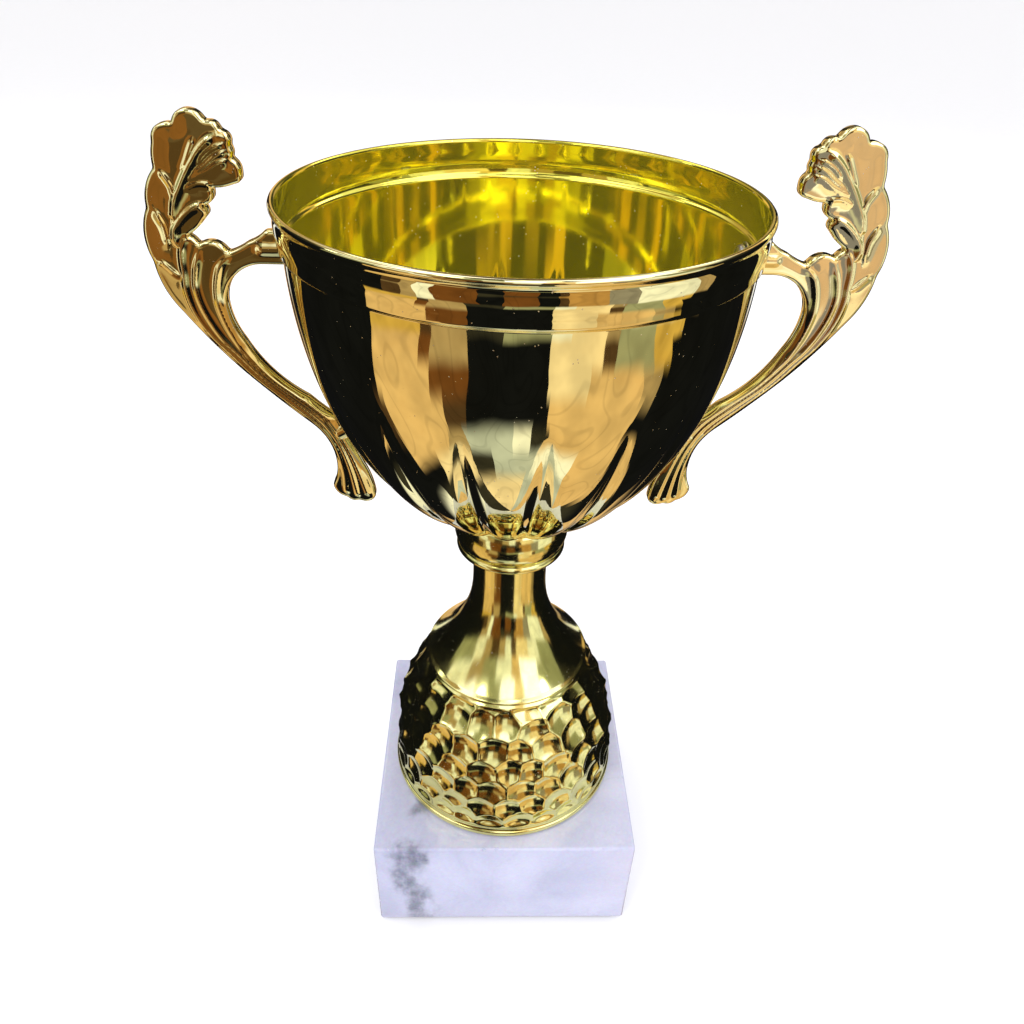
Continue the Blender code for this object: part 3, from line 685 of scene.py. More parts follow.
def leaf_points(edge):
    """Mesh points of one face: rings that follow the edge, then an even triangular field."""
    tangent = np.roll(edge, -1, 0) - np.roll(edge, 1, 0)
    tangent /= np.linalg.norm(tangent, axis=1)[:, None]
    inward = np.stack([-tangent[:, 1], tangent[:, 0]], axis=1)
    layers = []
    for gap in RING_DISTANCES:
        ring = edge + inward * gap
        true_gap = segment_distances(ring, edge, True)[0]
        layers.append(ring[true_gap > RING_TOLERANCE * gap])
    low, high = edge.min(0), edge.max(0)
    field = []
    for index, level in enumerate(np.arange(low[1], high[1], FIELD_ROW)):
        across = np.arange(low[0] + (index % 2) * FIELD_STEP / 2, high[0], FIELD_STEP)
        field.append(np.stack([across, np.full(len(across), level)], axis=1))
    field = np.concatenate(field)
    gap, side, _ = segment_distances(field, edge, True)
    inside = (side > 0) & (gap > RING_DISTANCES[-1] + FIELD_GAP)
    return np.concatenate(layers + [field[inside]])


def leaf_solid():
    """The leaf as one closed mesh, the same relief on both faces."""
    edge = leaf_edge()
    points = np.concatenate([edge, leaf_points(edge)])
    border = list(range(len(edge)))
    made = delaunay_2d_cdt([Vector(p) for p in points], [], [border], 1, MERGE_WITHIN)
    flat = np.array([tuple(v) for v in made[0]])
    triangles = [tuple(face) for face in made[2]]
    gap = segment_distances(flat, edge, True)[0]
    half = np.where(gap < ON_EDGE, EDGE_HALF, leaf_half_thickness(flat, gap))
    front = np.stack([flat[:, 0], -half, flat[:, 1]], axis=1)
    back = np.stack([flat[:, 0], half, flat[:, 1]], axis=1)
    total = len(flat)
    faces = [tuple(reversed(t)) for t in triangles]
    faces += [tuple(i + total for i in t) for t in triangles]
    edges = dict.fromkeys(pair for t in triangles for pair in zip(t, t[1:] + t[:1]))
    faces += [(a, b, b + total, a + total) for a, b in edges if (b, a) not in edges]
    return lifted(np.concatenate([front, back]), FOOT), faces


def peg_profile():
    """The round peg that carries the stem's screw, from its foot in the leaf to its rounded end."""
    profile = [(PEG_RADIUS + PEG_FLARE, PEG_FOOT[0]), (PEG_RADIUS, PEG_FOOT[1])]
    for step in range(9):
        angle = math.pi / 2 * step / 8
        profile.append((
            PEG_RADIUS - PEG_ROUNDING * (1 - math.cos(angle)),
            PEG_LENGTH - PEG_ROUNDING * (1 - math.sin(angle)),
        ))
    return profile


def make_handles(mat):
    leaf = solid("handle_leaf_right", *leaf_solid())
    cut_turned(leaf, peg_profile(), 40, wall_frame(LOWER_SCREW), "UNION")
    radius = SCREW_RADIUS + FASTENER_GAP
    for height in (UPPER_SCREW, LOWER_SCREW):
        cut_turned(leaf, [(radius, -CUT_REACH), (radius, BORE_DEPTH)], 20, wall_frame(height))
    dress(leaf, mat, "cup", "handle_right", sharp_from=50)
    other = bpy.data.objects.new("handle_leaf_left", leaf.data)
    other.matrix_world = HALF_TURN
    stand_for(other, "cup", "handle_left")


# ---- block and felt


def chip_solid(rng, low, high):
    """A small rough ball that takes a chip out of one edge of the block."""
    size = rng.uniform(*CHIP_SIZES)
    middle = (low + high) / 2
    half = (high - low) / 2
    along = rng.integers(3)
    spot = np.where(rng.random(3) < 0.5, -1.0, 1.0)
    outward = spot.copy()
    outward[along] = 0.0
    outward /= np.linalg.norm(outward)
    spot[along] = rng.uniform(-CHIP_REACH, CHIP_REACH)
    rounding = BLOCK_ROUNDING * (math.sqrt(2) - 1)
    centre = middle + spot * half + outward * (size - rounding - rng.uniform(*CHIP_DEPTHS))
    bm = bmesh.new()
    bmesh.ops.create_icosphere(bm, subdivisions=2, radius=size)
    swelling = 1 + rng.uniform(-CHIP_ROUGHNESS, CHIP_ROUGHNESS, (len(bm.verts), 1))
    verts = np.array([vert.co for vert in bm.verts]) * swelling
    faces = [tuple(vert.index for vert in face.verts) for face in bm.faces]
    bm.free()
    return solid("chip", verts + centre, faces)


def make_block(mat):
    low, high = (np.array(corner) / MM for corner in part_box("marble_base"))
    bm = bmesh.new()
    bmesh.ops.create_cube(bm, size=1)
    for vert in bm.verts:
        vert.co = Vector((low + high) / 2 + np.array(vert.co) * (high - low)) * MM
    bmesh.ops.bevel(
        bm, geom=bm.edges[:], offset=BLOCK_ROUNDING * MM, segments=6, profile=0.5, affect="EDGES"
    )
    mesh = bpy.data.meshes.new("marble_block")
    bm.to_mesh(mesh)
    bm.free()
    block = bpy.data.objects.new("marble_block", mesh)
    step = low[2] + COUNTERBORE_DEPTH
    cut_turned(block, [
        (COUNTERBORE_RADIUS, low[2] - CUT_REACH), (COUNTERBORE_RADIUS, step),
        (BLOCK_HOLE_RADIUS, step), (BLOCK_HOLE_RADIUS, high[2] + CUT_REACH),
    ], 96)
    rng = np.random.default_rng(CHIP_SEED)
    for _ in range(CHIPS):
        cut(block, chip_solid(rng, low, high))
    dress(block, mat, "base", "marble_base", sharp_from=30)


def make_felt(mat):
    """A thin pad with a fibrous, slightly uneven surface and a soft cut edge."""
    low, high = (np.array(corner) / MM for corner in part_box("base_felt"))
    rng = np.random.default_rng(FELT_SEED)
    count = FELT_STEPS
    x, y = np.meshgrid(np.linspace(low[0], high[0], count), np.linspace(low[1], high[1], count))
    to_edge = np.minimum.reduce([x - low[0], high[0] - x, y - low[1], high[1] - y])
    fall = FELT_EDGE_FALL * (1 - smoothstep(0.0, FELT_EDGE_WIDTH, to_edge))
    sheets = []
    for level, sign in ((low[2], 1), (high[2], -1)):
        fuzz = rng.uniform(0, FELT_GRAIN, x.shape)
        fuzz = (fuzz + np.roll(fuzz, 1, 0) + np.roll(fuzz, 1, 1)) / 3
        sheets.append(np.stack([x, y, level + sign * (fuzz + fall)], axis=-1).reshape(-1, 3))
    sheet = count * count
    grid = grid_faces(count, count, False, False)
    top = [tuple(index + sheet for index in face) for face in grid]
    bottom = [face[::-1] for face in grid]
    rim = list(range(count)) + [row * count + count - 1 for row in range(1, count)]
    rim += [(count - 1) * count + column for column in range(count - 2, -1, -1)]
    rim += [row * count for row in range(count - 2, 0, -1)]
    sides = [(near, far, far + sheet, near + sheet) for near, far in zip(rim, rim[1:] + rim[:1])]
    pad = solid("felt_pad", np.concatenate(sheets), bottom + top + sides)
    dress(pad, mat, "base", "base_felt", sharp_from=60)


# ---- fasteners


def thread(radius, pitch, low, high, chamfer):
    """A shape for turned() that cuts a right-handed thread between two heights."""

    def shape(radii, heights, angles):
        phase = (heights / pitch - angles / (2 * np.pi)) % 1.0
        groove = THREAD_DEPTH * pitch * smoothstep(*THREAD_FLANK, np.abs(2 * phase - 1))
        to_end = np.minimum(heights - low, high - heights)
        limit = radius - chamfer + np.clip(to_end, 0, chamfer)
        threaded = np.minimum(radius - groove, limit)
        return np.where((to_end >= 0) & (radii > radius - THREAD_CATCH), threaded, radii), heights

    return shape


def make_rod(mat):
    low, high = (corner.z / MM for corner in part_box("tie_rod"))
    heights = np.linspace(low, high, round((high - low) * ROD_RINGS_PER_MM))
    profile = [(NEAR_AXIS, low)] + [(ROD_RADIUS, z) for z in heights] + [(NEAR_AXIS, high)]
    shape = thread(ROD_RADIUS, ROD_PITCH, low, high, ROD_CHAMFER)
    rod = solid("threaded_rod", *turned(profile, 28, shape, capped=True))
    dress(rod, mat, "base", "tie_rod", sharp_from=40)


def make_nut(name, node, mat):
    """A hexagon nut: a prism met by two cones, with a countersunk bore."""
    low, high = (corner.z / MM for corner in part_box(node))
    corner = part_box(node)[1].x / MM
    flat = corner * math.cos(math.pi / 6)
    nut = solid(name, *turned([(corner, low), (corner, high)], 6, capped=True))
    face, waist = flat - NUT_FACE_INSET, corner + NUT_CONE_CLEARANCE
    cut_turned(nut, [
        (face, low), (waist, low + NUT_CHAMFER), (waist, high - NUT_CHAMFER), (face, high),
    ], 96, operation="INTERSECT")
    bore = ROD_RADIUS + FASTENER_GAP
    cut_turned(nut, [
        (bore + NUT_SINK, low - NUT_SINK_ABOVE), (bore, low + NUT_SINK_BELOW),
        (bore, high - NUT_SINK_BELOW), (bore + NUT_SINK, high + NUT_SINK_ABOVE),
    ], 48)
    dress(nut, mat, "base", node, sharp_from=25)


def make_lock_washer(name, node, mat):
    """A split spring washer: a rounded square wire that climbs a little on its way round."""
    low, high = (corner.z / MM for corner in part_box(node))
    hole = ROD_RADIUS + FASTENER_GAP
    thick = high - low - LOCK_RISE
    section = rounded([
        (hole, 0.5 * thick), (hole, 0.0), (LOCK_RADIUS, 0.0), (LOCK_RADIUS, thick), (hole, thick),
        (hole, 0.5 * thick),
    ], 3)[1:]
    count = len(section)
    verts = []
    for step in range(LOCK_STEPS + 1):
        share = step / LOCK_STEPS
        for radius, height in section:
            slant = LOCK_SLANT * (height / thick - 0.5)
            angle = LOCK_GAP / 2 + (2 * math.pi - LOCK_GAP) * share + slant
            rise = low + height + LOCK_RISE * (1 - share)
            verts.append((radius * math.cos(angle), radius * math.sin(angle), rise))
    faces = grid_faces(LOCK_STEPS + 1, count, False, True)
    faces.append(tuple(range(count)))
    faces.append(tuple(range(LOCK_STEPS * count, (LOCK_STEPS + 1) * count))[::-1])
    washer = solid(name, verts, faces)
    dress(washer, mat, "base", node, sharp_from=40)


def washer_ring(radius, hole, thick, steps):
    """A punched washer: rounded over on the upper side, nearly sharp underneath."""
    return turned([
        (hole + 0.05, 0.0), (radius - 0.06, 0.0), (radius, 0.06), (radius, 0.6 * thick),
        (radius - 0.1 * thick, 0.88 * thick), (radius - 0.3 * thick, thick),
        (hole + 0.2 * thick, thick), (hole, 0.8 * thick), (hole, 0.05),
    ], steps)


def make_plate_washer(name, node, mat):
    low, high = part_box(node)
    verts, faces = washer_ring(high.x / MM, ROD_RADIUS + FASTENER_GAP, (high - low).z / MM, 96)
    washer = solid(name, lifted(verts, low.z / MM), faces)
    dress(washer, mat, "base", node, sharp_from=35)


def screw_solid():
    """A pan-head screw along +Z: its seat at 0, a cross recess in its head."""
    side = SCREW_HEAD_SIDE * SCREW_HEAD_HEIGHT
    head = [(NEAR_AXIS, -SCREW_HEAD_HEIGHT)]
    for step in range(1, 12):
        angle = math.pi / 2 * step / 11
        head.append((
            SCREW_HEAD_RADIUS * math.sin(angle) ** SCREW_HEAD_SQUARENESS,
            -side - (SCREW_HEAD_HEIGHT - side) * math.cos(angle),
        ))
    edge = SCREW_HEAD_EDGE
    head += [(SCREW_HEAD_RADIUS, -edge), (SCREW_HEAD_RADIUS - edge, 0.0), (SCREW_RADIUS, 0.0)]
    shank = [(SCREW_RADIUS, z) for z in np.linspace(SCREW_THREAD_START, SCREW_LENGTH, 110)]
    shape = thread(SCREW_RADIUS, SCREW_PITCH, SCREW_THREAD_START, SCREW_LENGTH, SCREW_POINT)
    profile = head + shank + [(NEAR_AXIS, SCREW_LENGTH)]
    screw = solid("screw", *turned(profile, 32, shape, capped=True))
    recess = [(RECESS_TOP, -2 * SCREW_HEAD_HEIGHT), (RECESS_BOTTOM, -side)]
    stretch = Matrix.Diagonal(RECESS_STRETCH) @ Matrix.Rotation(math.pi / 4, 4, "Z")
    for turn in (0, math.pi / 2):
        cut_turned(screw, recess, 4, Matrix.Rotation(turn, 4, "Z") @ stretch)
    return screw


def make_screws(mat):
    """The screw and washer of each of the four bosses, on the inside of the bowl's wall."""
    screw = screw_solid()
    screw.data.transform(Matrix.Rotation(SCREW_TURN, 4, "Z"))
    for side, turn in (("right", Matrix()), ("left", HALF_TURN)):
        for level, height in (("upper", UPPER_SCREW), ("lower", LOWER_SCREW)):
            name = f"{side}_{level}"
            low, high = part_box("handle_washer_" + name)
            rotation = (turn @ wall_frame(height)).to_quaternion().to_matrix().to_4x4()
            place = Matrix.Translation((low + high) / 2) @ rotation
            ring = washer_ring(WASHER_RADIUS, SCREW_RADIUS + FASTENER_GAP, WASHER_THICKNESS, 64)
            washer = solid("wall_washer_" + name, *ring)
            washer.data.transform(place @ Matrix.Translation((0, 0, -WASHER_THICKNESS / 2 * MM)))
            dress(
                washer, mat, "cup", "handle_washer_" + name, sharp_from=35
            )
            piece = bpy.data.objects.new("wall_screw_" + name, screw.data.copy())
            seat = Matrix.Translation((0, 0, -(WASHER_THICKNESS / 2 + FASTENER_GAP) * MM))
            piece.data.transform(place @ seat)
            dress(piece, mat, "cup", "handle_screw_" + name, sharp_from=40)
    bpy.data.objects.remove(screw, do_unlink=True)


# ---- finishes


class Shader:
    """A node tree written as nested calls; every call returns the socket that holds its result."""

    def __init__(self, owner):
        owner.use_nodes = True
        self.tree = owner.node_tree

    def node(self, kind, inputs=(), **settings):
        made = self.tree.nodes.new(kind)
        for name, value in settings.items():
            setattr(made, name, value)
        for key, value in dict(inputs).items():
            self.feed(value, made.inputs[key])
        return made

    def feed(self, value, socket):
        if isinstance(value, bpy.types.NodeSocket):
            self.tree.links.new(value, socket)
        elif isinstance(value, tuple) and len(value) == 3 and socket.type == "RGBA":
            socket.default_value = (*value, 1.0)
        else:
            socket.default_value = value

    def math(self, operation, *values):
        return self.node("ShaderNodeMath", enumerate(values), operation=operation).outputs[0]

    def plus(self, value, *terms):
        """The value with each (socket, weight) term added to it."""
        for socket, weight in terms:
            value = self.math("ADD", value, self.math("MULTIPLY", socket, weight))
        return value

    def vector(self, operation, *values):
        made = self.node("ShaderNodeVectorMath", enumerate(values), operation=operation)
        return made.outputs["Value" if operation in ("DOT_PRODUCT", "LENGTH") else "Vector"]

    def step(self, value, low, high, out_low=0.0, out_high=1.0):
        inputs = {
            "Value": value, "From Min": low, "From Max": high, "To Min": out_low, "To Max": out_high,
        }
        return self.node("ShaderNodeMapRange", inputs, interpolation_type="SMOOTHSTEP").outputs[0]

    def mix(self, share, low, high, blend="MIX"):
        inputs = {0: share, 6: low, 7: high}
        return self.node("ShaderNodeMix", inputs, data_type="RGBA", blend_type=blend).outputs[2]

    def noise(self, vector, scale, detail=2.0, rough=0.5, distortion=0.0):
        inputs = {
            "Vector": vector, "Scale": scale, "Detail": detail, "Roughness": rough,
            "Distortion": distortion,
        }
        return self.node("ShaderNodeTexNoise", inputs).outputs[0]

    def cells(self, vector, scale, output="Distance"):
        inputs = {"Vector": vector, "Scale": scale}
        return self.node("ShaderNodeTexVoronoi", inputs).outputs[output]

    def ramp(self, share, stops, interpolation="LINEAR"):
        made = self.node("ShaderNodeValToRGB", {"Fac": share})
        ramp = made.color_ramp
        ramp.interpolation = interpolation
        while len(ramp.elements) < len(stops):
            ramp.elements.new(1.0)
        for element, (position, colour) in zip(ramp.elements, stops):
            element.position = position
            element.color = (*colour, 1.0)
        return made.outputs[0]

    def bump(self, height, distance, normal=None):
        inputs = {"Height": height, "Distance": distance, "Strength": 1.0}
        if normal is not None:
            inputs["Normal"] = normal
        return self.node("ShaderNodeBump", inputs).outputs[0]

    def object_space(self):
        """Position in metres and surface normal, both in the piece's own space."""
        made = self.node("ShaderNodeTexCoord")
        return made.outputs["Object"], made.outputs["Normal"]

    def split(self, vector):
        return self.node("ShaderNodeSeparateXYZ", {0: vector}).outputs[:3]

    def join(self, x, y, z):
        return self.node("ShaderNodeCombineXYZ", {0: x, 1: y, 2: z}).outputs[0]

    def finish(self, **inputs):
        shader = self.tree.nodes["Principled BSDF"]
        for name, value in inputs.items():
            self.feed(value, shader.inputs[name.replace("_", " ")])


def new_material(name):
    mat = bpy.data.materials.new(name)
    return mat, Shader(mat)


# In the finishes, patterns are in cells per metre and bumps in millimetres.
GRAIN_EDGE = (0.16, 0.08)
GRAIN_PICK_SCALE = 0.31
GRAIN_SHARE = 0.36
HAIR_WIDTH = 0.012
HAZE_DETAIL = (5.0, 0.65)

SHEET_HAZE = 55.0
SHEET_WAVES = 34.0
SHEET_WAVE_BUMP = 0.05
SHEET_STREAKS = (6.0, 9.0)
SHEET_STREAK_BUMP = 0.05
SHEET_GRAINS = 900.0
SHEET_GRAIN_BUMP = 0.004
SHEET_HAIRS = (260.0, 260.0, 30.0)
SHEET_POLISH = (0.012, 0.06)
SHEET_TARNISH = (0.80, 0.62, 0.22)
SHEET_DUST = (0.80, 0.74, 0.52)
WALL_FLIP = 0.0005

PLASTIC_HAZE = 70.0
PLASTIC_WAVES = 60.0
PLASTIC_WAVE_BUMP = 0.03
PLASTIC_PEEL = 700.0
PLASTIC_PEEL_BUMP = 0.0012
PLASTIC_GRAINS = 1100.0
PLASTIC_GRAIN_BUMP = 0.004
PLASTIC_HAIRS = (500.0, 500.0, 160.0)
PLASTIC_HAZE_ROUGHNESS = 0.07
PLASTIC_DUST = (0.82, 0.76, 0.56)

ZINC_SPANGLE = 900.0
ZINC_SMEAR = 160.0
ZINC_BRIGHT = (0.62, 0.63, 0.64)
ZINC_DULL = (0.50, 0.48, 0.42)

MARBLE_CLOUDS = 22.0
MARBLE_WARP = 38.0
MARBLE_WARP_REACH = 0.030
MARBLE_CRYSTALS = 1400.0
MARBLE_PITS = 420.0
MARBLE_HAIRS = 30.0
MARBLE_BREAKS = 80.0
MARBLE_SHADES = ((0.30, (0.42, 0.43, 0.60)), (0.46, (0.51, 0.52, 0.70)), (0.62, (0.58, 0.59, 0.77)))
VEIN_PLACE = -0.0250
VEIN_LEAN = 0.06
VEIN_HALF_WIDTH = 0.0068
VEIN_COLOUR = (0.10, 0.11, 0.16)
HAIR_VEIN_COLOUR = (0.40, 0.41, 0.54)

FELT_FIBRES = (900.0, 2600.0, 900.0)
FELT_MOTTLE = 130.0
FELT_DARK = (0.010, 0.050, 0.028)
FELT_LIGHT = (0.045, 0.16, 0.09)
FELT_WORN = (0.015, 0.07, 0.04)
FELT_BUMP = 0.15


def dust(sh, place, scale):
    """Mask of small specks: a few of the cells of a fine pattern hold one grain each."""
    grain = sh.step(sh.cells(place, scale), *GRAIN_EDGE)
    pick = sh.math("GREATER_THAN", sh.noise(place, scale * GRAIN_PICK_SCALE, 0.0), 1.0 - GRAIN_SHARE)
    return sh.math("MULTIPLY", grain, pick)


def scratches(sh, place, stretch):
    """Mask of fine hairlines that run along the shortest axis of the stretch."""
    squeezed = sh.vector("MULTIPLY", place, stretch)
    lines = sh.math("ABSOLUTE", sh.math("SUBTRACT", sh.noise(squeezed, 1.0, 3.0, 0.6), 0.5))
    return sh.step(lines, HAIR_WIDTH, 0.0)


def gold_sheet():
    """Plated steel sheet: mirror outside with slow waves, streaked inside, and yellower inside with a
    painted colour of light bounced round the bowl.
    """
    mat, sh = new_material("gold_plated_sheet")
    place, normal = sh.object_space()
    x, y, z = sh.split(place)
    outward = sh.vector("DOT_PRODUCT", normal, sh.join(x, y, 0.0))
    inside = sh.step(outward, WALL_FLIP, -WALL_FLIP)
    around = sh.math("MULTIPLY", sh.math("ARCTAN2", y, x), SHEET_STREAKS[0])
    streak = sh.noise(sh.join(around, sh.math("MULTIPLY", z, SHEET_STREAKS[1]), 0.0), 1.0, 2.0)
    haze = sh.noise(place, SHEET_HAZE, *HAZE_DETAIL)
    # Inside, the tint is yellower: painted colour of light bounced round inside the bowl.
    tint = sh.mix(inside, GOLD_OUTSIDE, GOLD_INSIDE_PAINTED_BOUNCE)
    tint = sh.mix(sh.step(haze, 0.45, 0.75), tint, sh.mix(0.25, tint, SHEET_TARNISH))
    specks = dust(sh, place, SHEET_GRAINS)
    hairs = sh.math("MULTIPLY", scratches(sh, place, SHEET_HAIRS), sh.step(haze, 0.5, 0.7))
    rough = sh.step(haze, 0.50, 0.80, *SHEET_POLISH)
    rough = sh.plus(rough, (hairs, 0.03), (inside, 0.045), (specks, 0.5))
    slow = sh.bump(sh.noise(place, SHEET_WAVES, 1.0), SHEET_WAVE_BUMP * MM)
    drawn = sh.bump(sh.math("MULTIPLY", streak, inside), SHEET_STREAK_BUMP * MM, slow)
    sh.finish(
        Base_Color=sh.mix(specks, tint, SHEET_DUST), Metallic=sh.step(inside, 0.0, 1.0, 1.0, 0.94),
        Roughness=rough, Normal=sh.bump(specks, SHEET_GRAIN_BUMP * MM, drawn),
    )
    return mat


def gold_plastic(name, tint, tarnish, satin):
    """Vacuum-plated moulding: mirror with faint orange peel, hazed and rubbed in places."""
    mat, sh = new_material(name)
    place, _ = sh.object_space()
    haze = sh.noise(place, PLASTIC_HAZE, *HAZE_DETAIL)
    specks = dust(sh, place, PLASTIC_GRAINS)
    hairs = scratches(sh, place, PLASTIC_HAIRS)
    rough = sh.step(haze, 0.42, 0.78, satin, satin + PLASTIC_HAZE_ROUGHNESS)
    rough = sh.plus(rough, (hairs, 0.05), (specks, 0.45))
    colour = sh.mix(sh.step(haze, 0.40, 0.75), tint, tarnish)
    slow = sh.bump(sh.noise(place, PLASTIC_WAVES, 1.0), PLASTIC_WAVE_BUMP * MM)
    skin = sh.bump(sh.noise(place, PLASTIC_PEEL, 1.0), PLASTIC_PEEL_BUMP * MM, slow)
    sh.finish(
        Base_Color=sh.mix(specks, colour, PLASTIC_DUST), Metallic=1.0, Roughness=rough,
        Normal=sh.bump(specks, PLASTIC_GRAIN_BUMP * MM, skin),
    )
    return mat


def zinc_steel():
    """Bright zinc with a faint spangle, smeared duller where hands and oil were."""
    mat, sh = new_material("zinc_plated_steel")
    place, _ = sh.object_space()
    smear = sh.noise(place, ZINC_SMEAR, 4.0, 0.6)
    colour = sh.mix(sh.step(smear, 0.35, 0.7), ZINC_BRIGHT, ZINC_DULL)
    colour = sh.mix(0.06, colour, sh.cells(place, ZINC_SPANGLE, "Color"))
    rough = sh.step(smear, 0.3, 0.75, 0.22, 0.45)
    sh.finish(
        Base_Color=colour, Metallic=1.0, Roughness=rough, Normal=sh.bump(smear, 0.02 * MM)
    )
    return mat


def white_marble():
    """Polished white stone, cool and cloudy, with one broken grey vein near its left edge."""
    mat, sh = new_material("white_marble")
    place, _ = sh.object_space()
    x, _, z = sh.split(place)
    warp = sh.math("SUBTRACT", sh.noise(place, MARBLE_WARP, 5.0, 0.62), 0.5)
    cloud = sh.noise(place, MARBLE_CLOUDS, 6.0, 0.6, 0.8)
    line = sh.plus(x, (z, VEIN_LEAN), (warp, MARBLE_WARP_REACH))
    offset = sh.math("ABSOLUTE", sh.math("SUBTRACT", line, VEIN_PLACE))
    broken = sh.noise(sh.vector("MULTIPLY", place, (1.0, 1.0, 0.55)), MARBLE_BREAKS, 4.0, 0.6)
    vein = sh.math("MULTIPLY", sh.step(offset, VEIN_HALF_WIDTH, 0.0), sh.step(broken, 0.44, 0.66))
    hair = sh.math("SUBTRACT", sh.noise(place, MARBLE_HAIRS, 4.0, 0.55, 1.2), 0.5)
    hair = sh.step(sh.math("ABSOLUTE", hair), 0.03, 0.0)
    colour = sh.ramp(cloud, MARBLE_SHADES)
    colour = sh.mix(sh.math("MULTIPLY", hair, 0.14), colour, HAIR_VEIN_COLOUR)
    colour = sh.mix(sh.math("MULTIPLY", vein, 0.85), colour, VEIN_COLOUR)
    colour = sh.mix(0.05, colour, sh.cells(place, MARBLE_CRYSTALS, "Color"))
    pits = sh.step(sh.cells(place, MARBLE_PITS), 0.10, 0.03)
    relief = sh.math("SUBTRACT", sh.math("MULTIPLY", cloud, 0.5), pits)
    sh.finish(
        Base_Color=colour, Roughness=sh.step(broken, 0.35, 0.75, 0.10, 0.24), Coat_Weight=0.3,
        Coat_Roughness=0.06, Normal=sh.bump(relief, 0.02 * MM),
    )
    return mat


def green_felt():
    """Short matted fibres, mottled and a little worn."""
    mat, sh = new_material("green_felt")
    place, _ = sh.object_space()
    fibre = sh.noise(sh.vector("MULTIPLY", place, FELT_FIBRES), 1.0, 4.0, 0.7, 1.5)
    mottle = sh.math("MULTIPLY", sh.noise(place, FELT_MOTTLE, 4.0), 0.5)
    sh.finish(
        Base_Color=sh.mix(mottle, sh.mix(fibre, FELT_DARK, FELT_LIGHT), FELT_WORN), Roughness=0.95,
        Sheen_Weight=0.5, Sheen_Roughness=0.4, Normal=sh.bump(fibre, FELT_BUMP * MM),
    )
    return mat


# ---- stage


def make_camera():
    """The camera of the photograph: close in front of the cup, looking down at it."""
    data = bpy.data.cameras.new("camera")
    data.lens = CAMERA_LENS
    camera = bpy.data.objects.new("camera", data)
    link(camera)
    turn = Matrix.Rotation(CAMERA_TURN, 4, "Z")
    place = Matrix.Translation(CAMERA_PLACE * MM)
    pitch = Matrix.Rotation(math.pi / 2 - CAMERA_DOWN, 4, "X")
    roll = Matrix.Rotation(CAMERA_ROLL, 4, "Z")
    camera.matrix_world = turn @ place @ pitch @ roll
    bpy.context.scene.camera = camera


def make_floor():
    """A wide pale floor that lights and catches shadows but doesn't show in the gold."""
    bm = bmesh.new()
    bmesh.ops.create_grid(bm, x_segments=2, y_segments=2, size=20.0)
    mesh = bpy.data.meshes.new("floor")
    bm.to_mesh(mesh)
    bm.free()
    mat, sh = new_material("floor")
    place, _ = sh.object_space()
    grain = sh.noise(place, 60.0, 4.0)
    colour = sh.mix(grain, (0.93, 0.93, 0.94), (0.96, 0.96, 0.97))
    sh.finish(Base_Color=colour, Roughness=0.7, Normal=sh.bump(grain, 0.05 * MM))
    mesh.materials.append(mat)
    floor = bpy.data.objects.new("floor", mesh)
    link(floor)
    floor.visible_glossy = False


def soft_light(name, place, size, power, colour, aim=SOFTBOX_AIM):
    """A square softbox that lights the scene without showing in the gold."""
    data = bpy.data.lights.new(name, "AREA")
    data.size = size
    data.energy = power
    data.color = colour
    light = bpy.data.objects.new(name, data)
    link(light)
    facing = (Vector(aim) - Vector(place)).to_track_quat("-Z", "Y").to_matrix().to_4x4()
    light.matrix_world = Matrix.Translation(place) @ facing
    light.visible_glossy = False
    return light


def reflector_card(leaf, side, power, colour):
    """A small card in front of one leaf, on the side that is +1 or -1, that only this leaf mirrors."""
    place, aim = ((side * x, y, z) for x, y, z in (CARD_PLACE, CARD_AIM))
    light = soft_light(leaf + "_card", place, CARD_SIZE, power, colour, aim)
    light.visible_camera = False
    light.visible_glossy = True
    seen_by = bpy.data.collections.new(leaf + "_sees_card")
    seen_by.objects.link(bpy.data.objects[leaf])
    light.light_linking.receiver_collection = seen_by


# What the gold mirrors, seen in the gold: name, linear colour.
SHADES = {
    "black": (0.006, 0.006, 0.004),
    "dark": (0.035, 0.030, 0.012),
    "brown": (0.16, 0.055, 0.008),
    "umber": (0.080, 0.040, 0.010),
    "tan": (0.76, 0.46, 0.12),
    "sienna": (0.50, 0.25, 0.045),
    "amber": (0.68, 0.40, 0.05),
    "bright": (0.93, 0.68, 0.24),
    "gold": (0.43, 0.28, 0.08),
    "grey": (0.30, 0.25, 0.12),
    "olive": (0.33, 0.31, 0.11),
    "silver": (0.52, 0.52, 0.28),
    "cream": (0.95, 0.88, 0.46),
    "white": (1.9, 1.8, 1.2),
}

# The two ends of every lower ring: the dark wall behind the cup and its lit posts.
WALL_LEFT = ((-180, "black"), (-172, "tan"), (-160, "black"))
WALL_RIGHT = ((150, "black"), (160, "tan"), (172, "black"))


def walled(slit, *shades):
    """The shades of a lower ring between the ends of the dark wall, with a lit slit on its left."""
    return (*WALL_LEFT, (-152, slit), (-149, "black"), *shades, *WALL_RIGHT)


